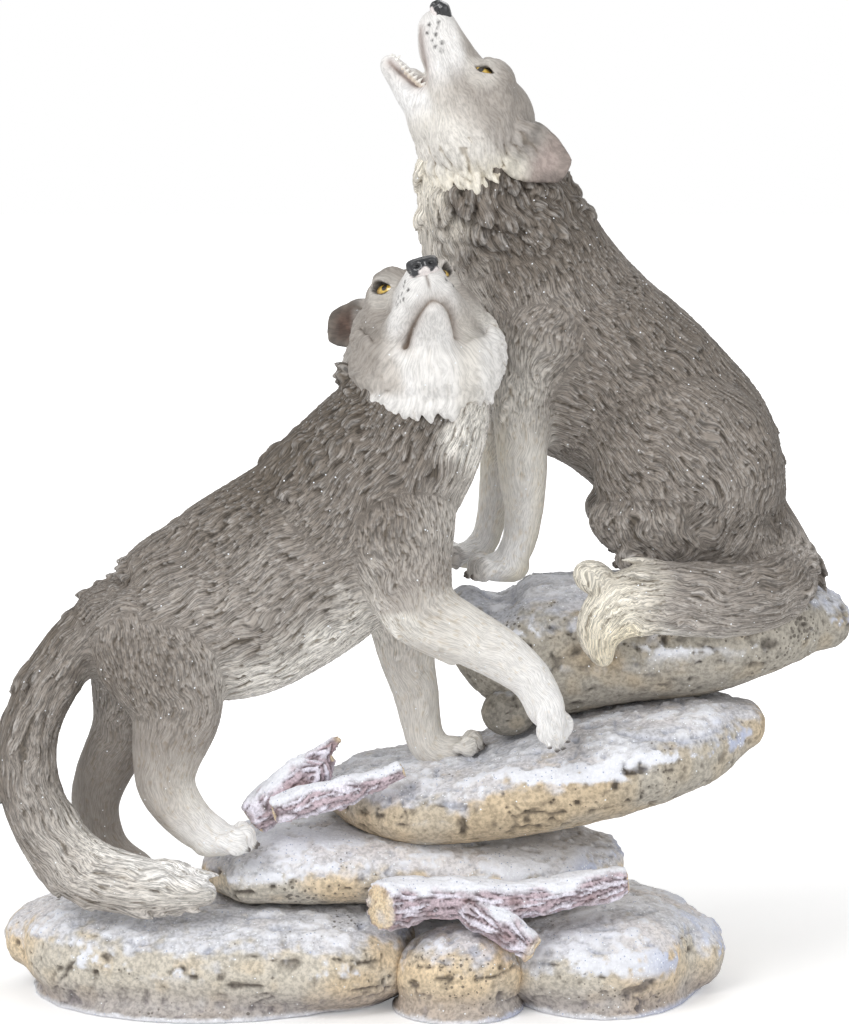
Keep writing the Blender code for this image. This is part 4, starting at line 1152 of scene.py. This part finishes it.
def resin(name, rough=0.62, specular=0.4, across=2.6, along=0.42, bump=0.6, contrast=0.3,
          sparkle=0.004, coat_gloss=0.0, pitted=0.0):
    """Painted resin. Its colour is brushed on each vertex, and the shader adds fine streaks that
    follow the hair or bark, a mottle, a fine relief, and grains of glitter painted as bright glints
    and as darker blue flakes."""
    material = bpy.data.materials.new(name)
    material.use_nodes = True
    tree = material.node_tree
    nodes, link = tree.nodes, tree.links.new
    shader = nodes["Principled BSDF"]

    def node(kind, **values):
        made = nodes.new(kind)
        for key, value in values.items():
            setattr(made, key, value)
        return made

    def maths(operation, a, b=None, clamp=False):
        made = node("ShaderNodeMath", operation=operation, use_clamp=clamp)
        for socket, value in zip(made.inputs, (a, b)):
            if value is None:
                continue
            if isinstance(value, (int, float)):
                socket.default_value = value
            else:
                link(value, socket)
        return made.outputs[0]

    def blend(a, b, factor, kind="MIX"):
        made = node("ShaderNodeMix", data_type="RGBA", blend_type=kind)
        for socket, value in ((made.inputs[0], factor), (made.inputs[6], a), (made.inputs[7], b)):
            if isinstance(value, (int, float, tuple)):
                socket.default_value = value
            else:
                link(value, socket)
        return made.outputs[2]

    paint = node("ShaderNodeAttribute", attribute_name="paint").outputs["Color"]
    strand = node("ShaderNodeAttribute", attribute_name="strand").outputs["Vector"]
    snow = node("ShaderNodeAttribute", attribute_name="snow").outputs["Fac"]
    place = node("ShaderNodeTexCoord").outputs["Object"]
    stretch = node("ShaderNodeVectorMath", operation="MULTIPLY")
    link(strand, stretch.inputs[0])
    stretch.inputs[1].default_value = (across, across, along)
    streaks = node("ShaderNodeTexNoise")
    streaks.inputs["Scale"].default_value = 1.0
    streaks.inputs["Detail"].default_value = 3.0
    streaks.inputs["Roughness"].default_value = 0.62
    link(stretch.outputs[0], streaks.inputs["Vector"])
    mottle = node("ShaderNodeTexNoise")
    mottle.inputs["Scale"].default_value = 260.0
    mottle.inputs["Detail"].default_value = 4.0
    link(place, mottle.inputs["Vector"])
    crisp = node("ShaderNodeMapRange", interpolation_type="SMOOTHSTEP")
    crisp.inputs["From Min"].default_value, crisp.inputs["From Max"].default_value = 0.36, 0.62
    link(streaks.outputs["Fac"], crisp.inputs["Value"])
    tint = maths("MULTIPLY", maths("SUBTRACT", crisp.outputs["Result"], 0.55), contrast * 2)
    tint = maths("ADD", tint, maths("MULTIPLY", maths("SUBTRACT", mottle.outputs["Fac"], 0.5), 0.35))
    tint = maths("MULTIPLY", tint, maths("SUBTRACT", 1.0, maths("MULTIPLY", snow, 0.75)))
    short = node("ShaderNodeAttribute", attribute_name="short").outputs["Fac"]
    tint = maths("MULTIPLY", tint, maths("SUBTRACT", 1.0, maths("MULTIPLY", short, 0.6)))
    grey = node("ShaderNodeCombineColor")
    for socket in grey.inputs[:3]:
        link(maths("ADD", tint, 1.0), socket)
    colour = blend(paint, grey.outputs[0], 1.0, "MULTIPLY")
    holes = node("ShaderNodeTexVoronoi")
    holes.inputs["Scale"].default_value = 640.0
    link(place, holes.inputs["Vector"])
    swarm = node("ShaderNodeTexNoise")
    swarm.inputs["Scale"].default_value = 55.0
    link(place, swarm.inputs["Vector"])
    reach = maths("MULTIPLY", maths("SUBTRACT", swarm.outputs["Fac"], 0.5), 1.8 * pitted)
    reach = maths("MULTIPLY", reach, maths("SUBTRACT", 1.0, snow))
    speck = maths("LESS_THAN", holes.outputs["Distance"], reach)
    colour = blend(colour, (0.10, 0.085, 0.07, 1.0), maths("MULTIPLY", speck, 0.75 * min(pitted, 1.0)))

    # Grains of glitter, painted as glints: most are near white, and some are darker blue flakes that catch
    # no light.
    cells = node("ShaderNodeTexVoronoi")
    cells.inputs["Scale"].default_value = 1900.0
    link(place, cells.inputs["Vector"])
    pick = node("ShaderNodeSeparateColor")
    link(cells.outputs["Color"], pick.inputs[0])
    level = maths("SUBTRACT", 1.0 - sparkle, maths("MULTIPLY", snow, 0.16))
    spark = maths("MULTIPLY", maths("GREATER_THAN", pick.outputs[0], level),
                  maths("LESS_THAN", cells.outputs["Distance"], 0.42))
    glint_white = node("ShaderNodeCombineColor")
    glint_white.inputs[0].default_value, glint_white.inputs[1].default_value = 0.93, 0.96
    glint_white.inputs[2].default_value = 1.0
    unlit_flakes = maths("GREATER_THAN", pick.outputs[1], maths("SUBTRACT", 1.0, maths("MULTIPLY", snow, 0.3)))
    glint_colour = blend(glint_white.outputs[0], (0.42, 0.47, 0.62, 1.0), unlit_flakes)
    colour = blend(colour, glint_colour, spark)
    link(colour, shader.inputs["Base Color"])

    grain = node("ShaderNodeTexNoise")
    grain.inputs["Scale"].default_value = 1500.0
    grain.inputs["Detail"].default_value = 2.0
    link(place, grain.inputs["Vector"])
    height = maths("ADD", maths("MULTIPLY", streaks.outputs["Fac"], 1.0),
                   maths("MULTIPLY", grain.outputs["Fac"], 0.35))
    relief = node("ShaderNodeBump")
    relief.inputs["Strength"].default_value = bump
    relief.inputs["Distance"].default_value = 0.00035
    link(height, relief.inputs["Height"])
    link(relief.outputs[0], shader.inputs["Normal"])
    wear = maths("ADD", maths("MULTIPLY", mottle.outputs["Fac"], 0.2), rough - 0.1)
    link(maths("SUBTRACT", wear, maths("MULTIPLY", spark, 0.3), clamp=True), shader.inputs["Roughness"])
    shader.inputs["Specular IOR Level"].default_value = specular
    shader.inputs["Coat Weight"].default_value = coat_gloss
    shader.inputs["Coat Roughness"].default_value = 0.08
    return material


def studio():
    """A plain pale floor, a white surround, and soft lamps."""
    scene = bpy.context.scene
    bpy.ops.mesh.primitive_plane_add(size=6, location=(0, 0, -0.0002))
    floor = bpy.context.object
    floor.name = "floor"
    cloth = bpy.data.materials.new("floor")
    cloth.use_nodes = True
    surface = cloth.node_tree.nodes["Principled BSDF"]
    surface.inputs["Base Color"].default_value = (0.93, 0.93, 0.93, 1)
    surface.inputs["Roughness"].default_value = 0.9
    web = cloth.node_tree
    seen = web.nodes.new("ShaderNodeLightPath")
    spot = web.nodes.new("ShaderNodeTexCoord")
    reach = web.nodes.new("ShaderNodeVectorMath")
    reach.operation = "LENGTH"
    fade = web.nodes.new("ShaderNodeMapRange")
    fade.inputs["From Min"].default_value, fade.inputs["From Max"].default_value = 0.1, 0.6
    fade.inputs["To Min"].default_value, fade.inputs["To Max"].default_value = 0.22, 0.65
    lift = web.nodes.new("ShaderNodeMath")
    lift.operation = "MULTIPLY"
    web.links.new(spot.outputs["Object"], reach.inputs[0])
    web.links.new(reach.outputs["Value"], fade.inputs["Value"])
    web.links.new(fade.outputs["Result"], lift.inputs[0])
    web.links.new(seen.outputs["Is Camera Ray"], lift.inputs[1])
    web.links.new(lift.outputs[0], surface.inputs["Emission Strength"])
    surface.inputs["Emission Color"].default_value = (1, 1, 1, 1)
    floor.data.materials.append(cloth)

    world = bpy.data.worlds.new("studio")
    scene.world = world
    world.use_nodes = True
    tree = world.node_tree
    lit = tree.nodes["Background"]
    lit.inputs["Color"].default_value = (1, 1, 1, 1)
    lit.inputs["Strength"].default_value = 0.62
    seen = tree.nodes.new("ShaderNodeBackground")
    seen.inputs["Strength"].default_value = 1.0
    seen.inputs["Color"].default_value = (1, 1, 1, 1)
    path = tree.nodes.new("ShaderNodeLightPath")
    pick = tree.nodes.new("ShaderNodeMixShader")
    tree.links.new(path.outputs["Is Camera Ray"], pick.inputs[0])
    tree.links.new(lit.outputs[0], pick.inputs[1])
    tree.links.new(seen.outputs[0], pick.inputs[2])
    tree.links.new(pick.outputs[0], tree.nodes["World Output"].inputs["Surface"])

    for name, place, energy, size in (("key", (-0.9, -1.1, 1.3), 15.0, 0.9),
                                      ("fill", (1.2, -1.3, 0.7), 6.0, 1.2),
                                      ("back", (0.5, 1.3, 1.2), 5.0, 1.0)):
        lamp = bpy.data.lights.new(name, "AREA")
        lamp.energy, lamp.size = energy, size
        made = bpy.data.objects.new(name, lamp)
        made.location = place
        aim = Vector((0, 0, 0.12)) - made.location
        made.rotation_euler = aim.to_track_quat("-Z", "Y").to_euler()
        scene.collection.objects.link(made)

    lens = bpy.data.cameras.new("camera")
    lens.lens, lens.sensor_width = CAMERA_LENS, CAMERA_SENSOR
    camera = bpy.data.objects.new("camera", lens)
    rise = math.radians(CAMERA_RISE)
    camera.location = CAMERA_TARGET + CAMERA_DISTANCE * Vector((0, -math.cos(rise), math.sin(rise)))
    camera.rotation_euler = (CAMERA_TARGET - camera.location).to_track_quat("-Z", "Y").to_euler()
    scene.collection.objects.link(camera)
    scene.camera = camera
    scene.view_settings.view_transform = "Standard"


# The ears, laid back, as stations of (x, y, z, half width) in the frame of the head. On the walker
# the ear on its right shows, and the one on its left lies flat behind the crown.
WALKER_EAR = ((-8, 10, 0.5, 6.2), (-12, 14.5, 2, 6.6), (-15, 17.8, 3.4, 6), (-17, 20, 4.4, 4.8))
WALKER_FLAT_EAR = ((-8, 8.5, 1, 6), (-14, 10.5, 0, 6), (-19, 11.5, -1, 5), (-23, 12, -2, 3.6))
SITTER_EAR = ((-8, 10, -1, 7), (-13, 12, 2, 8), (-17.5, 13.2, 5.5, 7), (-21.8, 14, 8.3, 4.4))
WALKER_EAR_FACES, SITTER_EAR_FACES = (1.0, 0.3, 0.0), (0.25, 1.0, 0.1)

# How the eyes slant, and how far they are shut.
WALKER_EYES, SITTER_EYES = (0.3, 0.2), (0.75, 1.5)
SITTER_JAW_OPEN = 21


def build():
    fur = resin("fur_paint", across=3.2, along=0.4, contrast=0.4)
    face = resin("face_paint", across=2.0, along=0.6, contrast=0.14, bump=0.35, sparkle=0.002)
    rock = resin("stone_paint", rough=0.7, across=0.9, along=0.9, contrast=0.2, bump=0.7, pitted=1.0)
    wood = resin("wood_paint", rough=0.6, across=1.4, along=1.4, contrast=0.2, bump=0.6)
    gloss = resin("nose_paint", rough=0.28, specular=0.6, across=1.6, along=1.6, contrast=0.1, bump=0.25,
                  sparkle=0.0, coat_gloss=0.5)
    glass = resin("eye_paint", rough=0.15, specular=0.6, across=1.5, along=1.5, contrast=0.12,
                  bump=0.05, sparkle=0.0, coat_gloss=1.0)
    enamel = resin("tooth_paint", rough=0.4, specular=0.5, across=1.5, along=1.5, contrast=0.06,
                   bump=0.1, sparkle=0.0, coat_gloss=0.2)
    forms = walker_forms()
    furry("walker_body", walker_skin(forms), forms, 1, 2.4, fur,
          patches=(((14, -38, 155), (9, 16, 12)), ((-4, -41, 105), (10, 8, 5.5))))
    forms = sitter_forms()
    furry("sitter_body", sitter_skin(forms), forms, 31, 2.8, fur)
    _, skin = head("walker_head", WALKER_HEAD, 0, (WALKER_EAR, WALKER_FLAT_EAR), WALKER_EAR_FACES, True,
                   *WALKER_EYES, 61, face, rgb(98, 78, 68))
    eyes("walker_eyes", WALKER_HEAD, *WALKER_EYES, skin, glass)
    nose("walker_nose", WALKER_HEAD, gloss)
    swing, skin = head("sitter_head", SITTER_HEAD, SITTER_JAW_OPEN, (SITTER_EAR, SITTER_EAR),
                       SITTER_EAR_FACES, False, *SITTER_EYES, 71, face, rgb(166, 152, 146))
    eyes("sitter_eyes", SITTER_HEAD, *SITTER_EYES, skin, glass)
    nose("sitter_nose", SITTER_HEAD, gloss)
    teeth("sitter_teeth", swing, enamel)
    boulders(rock)
    woods(wood)
    studio()


build()
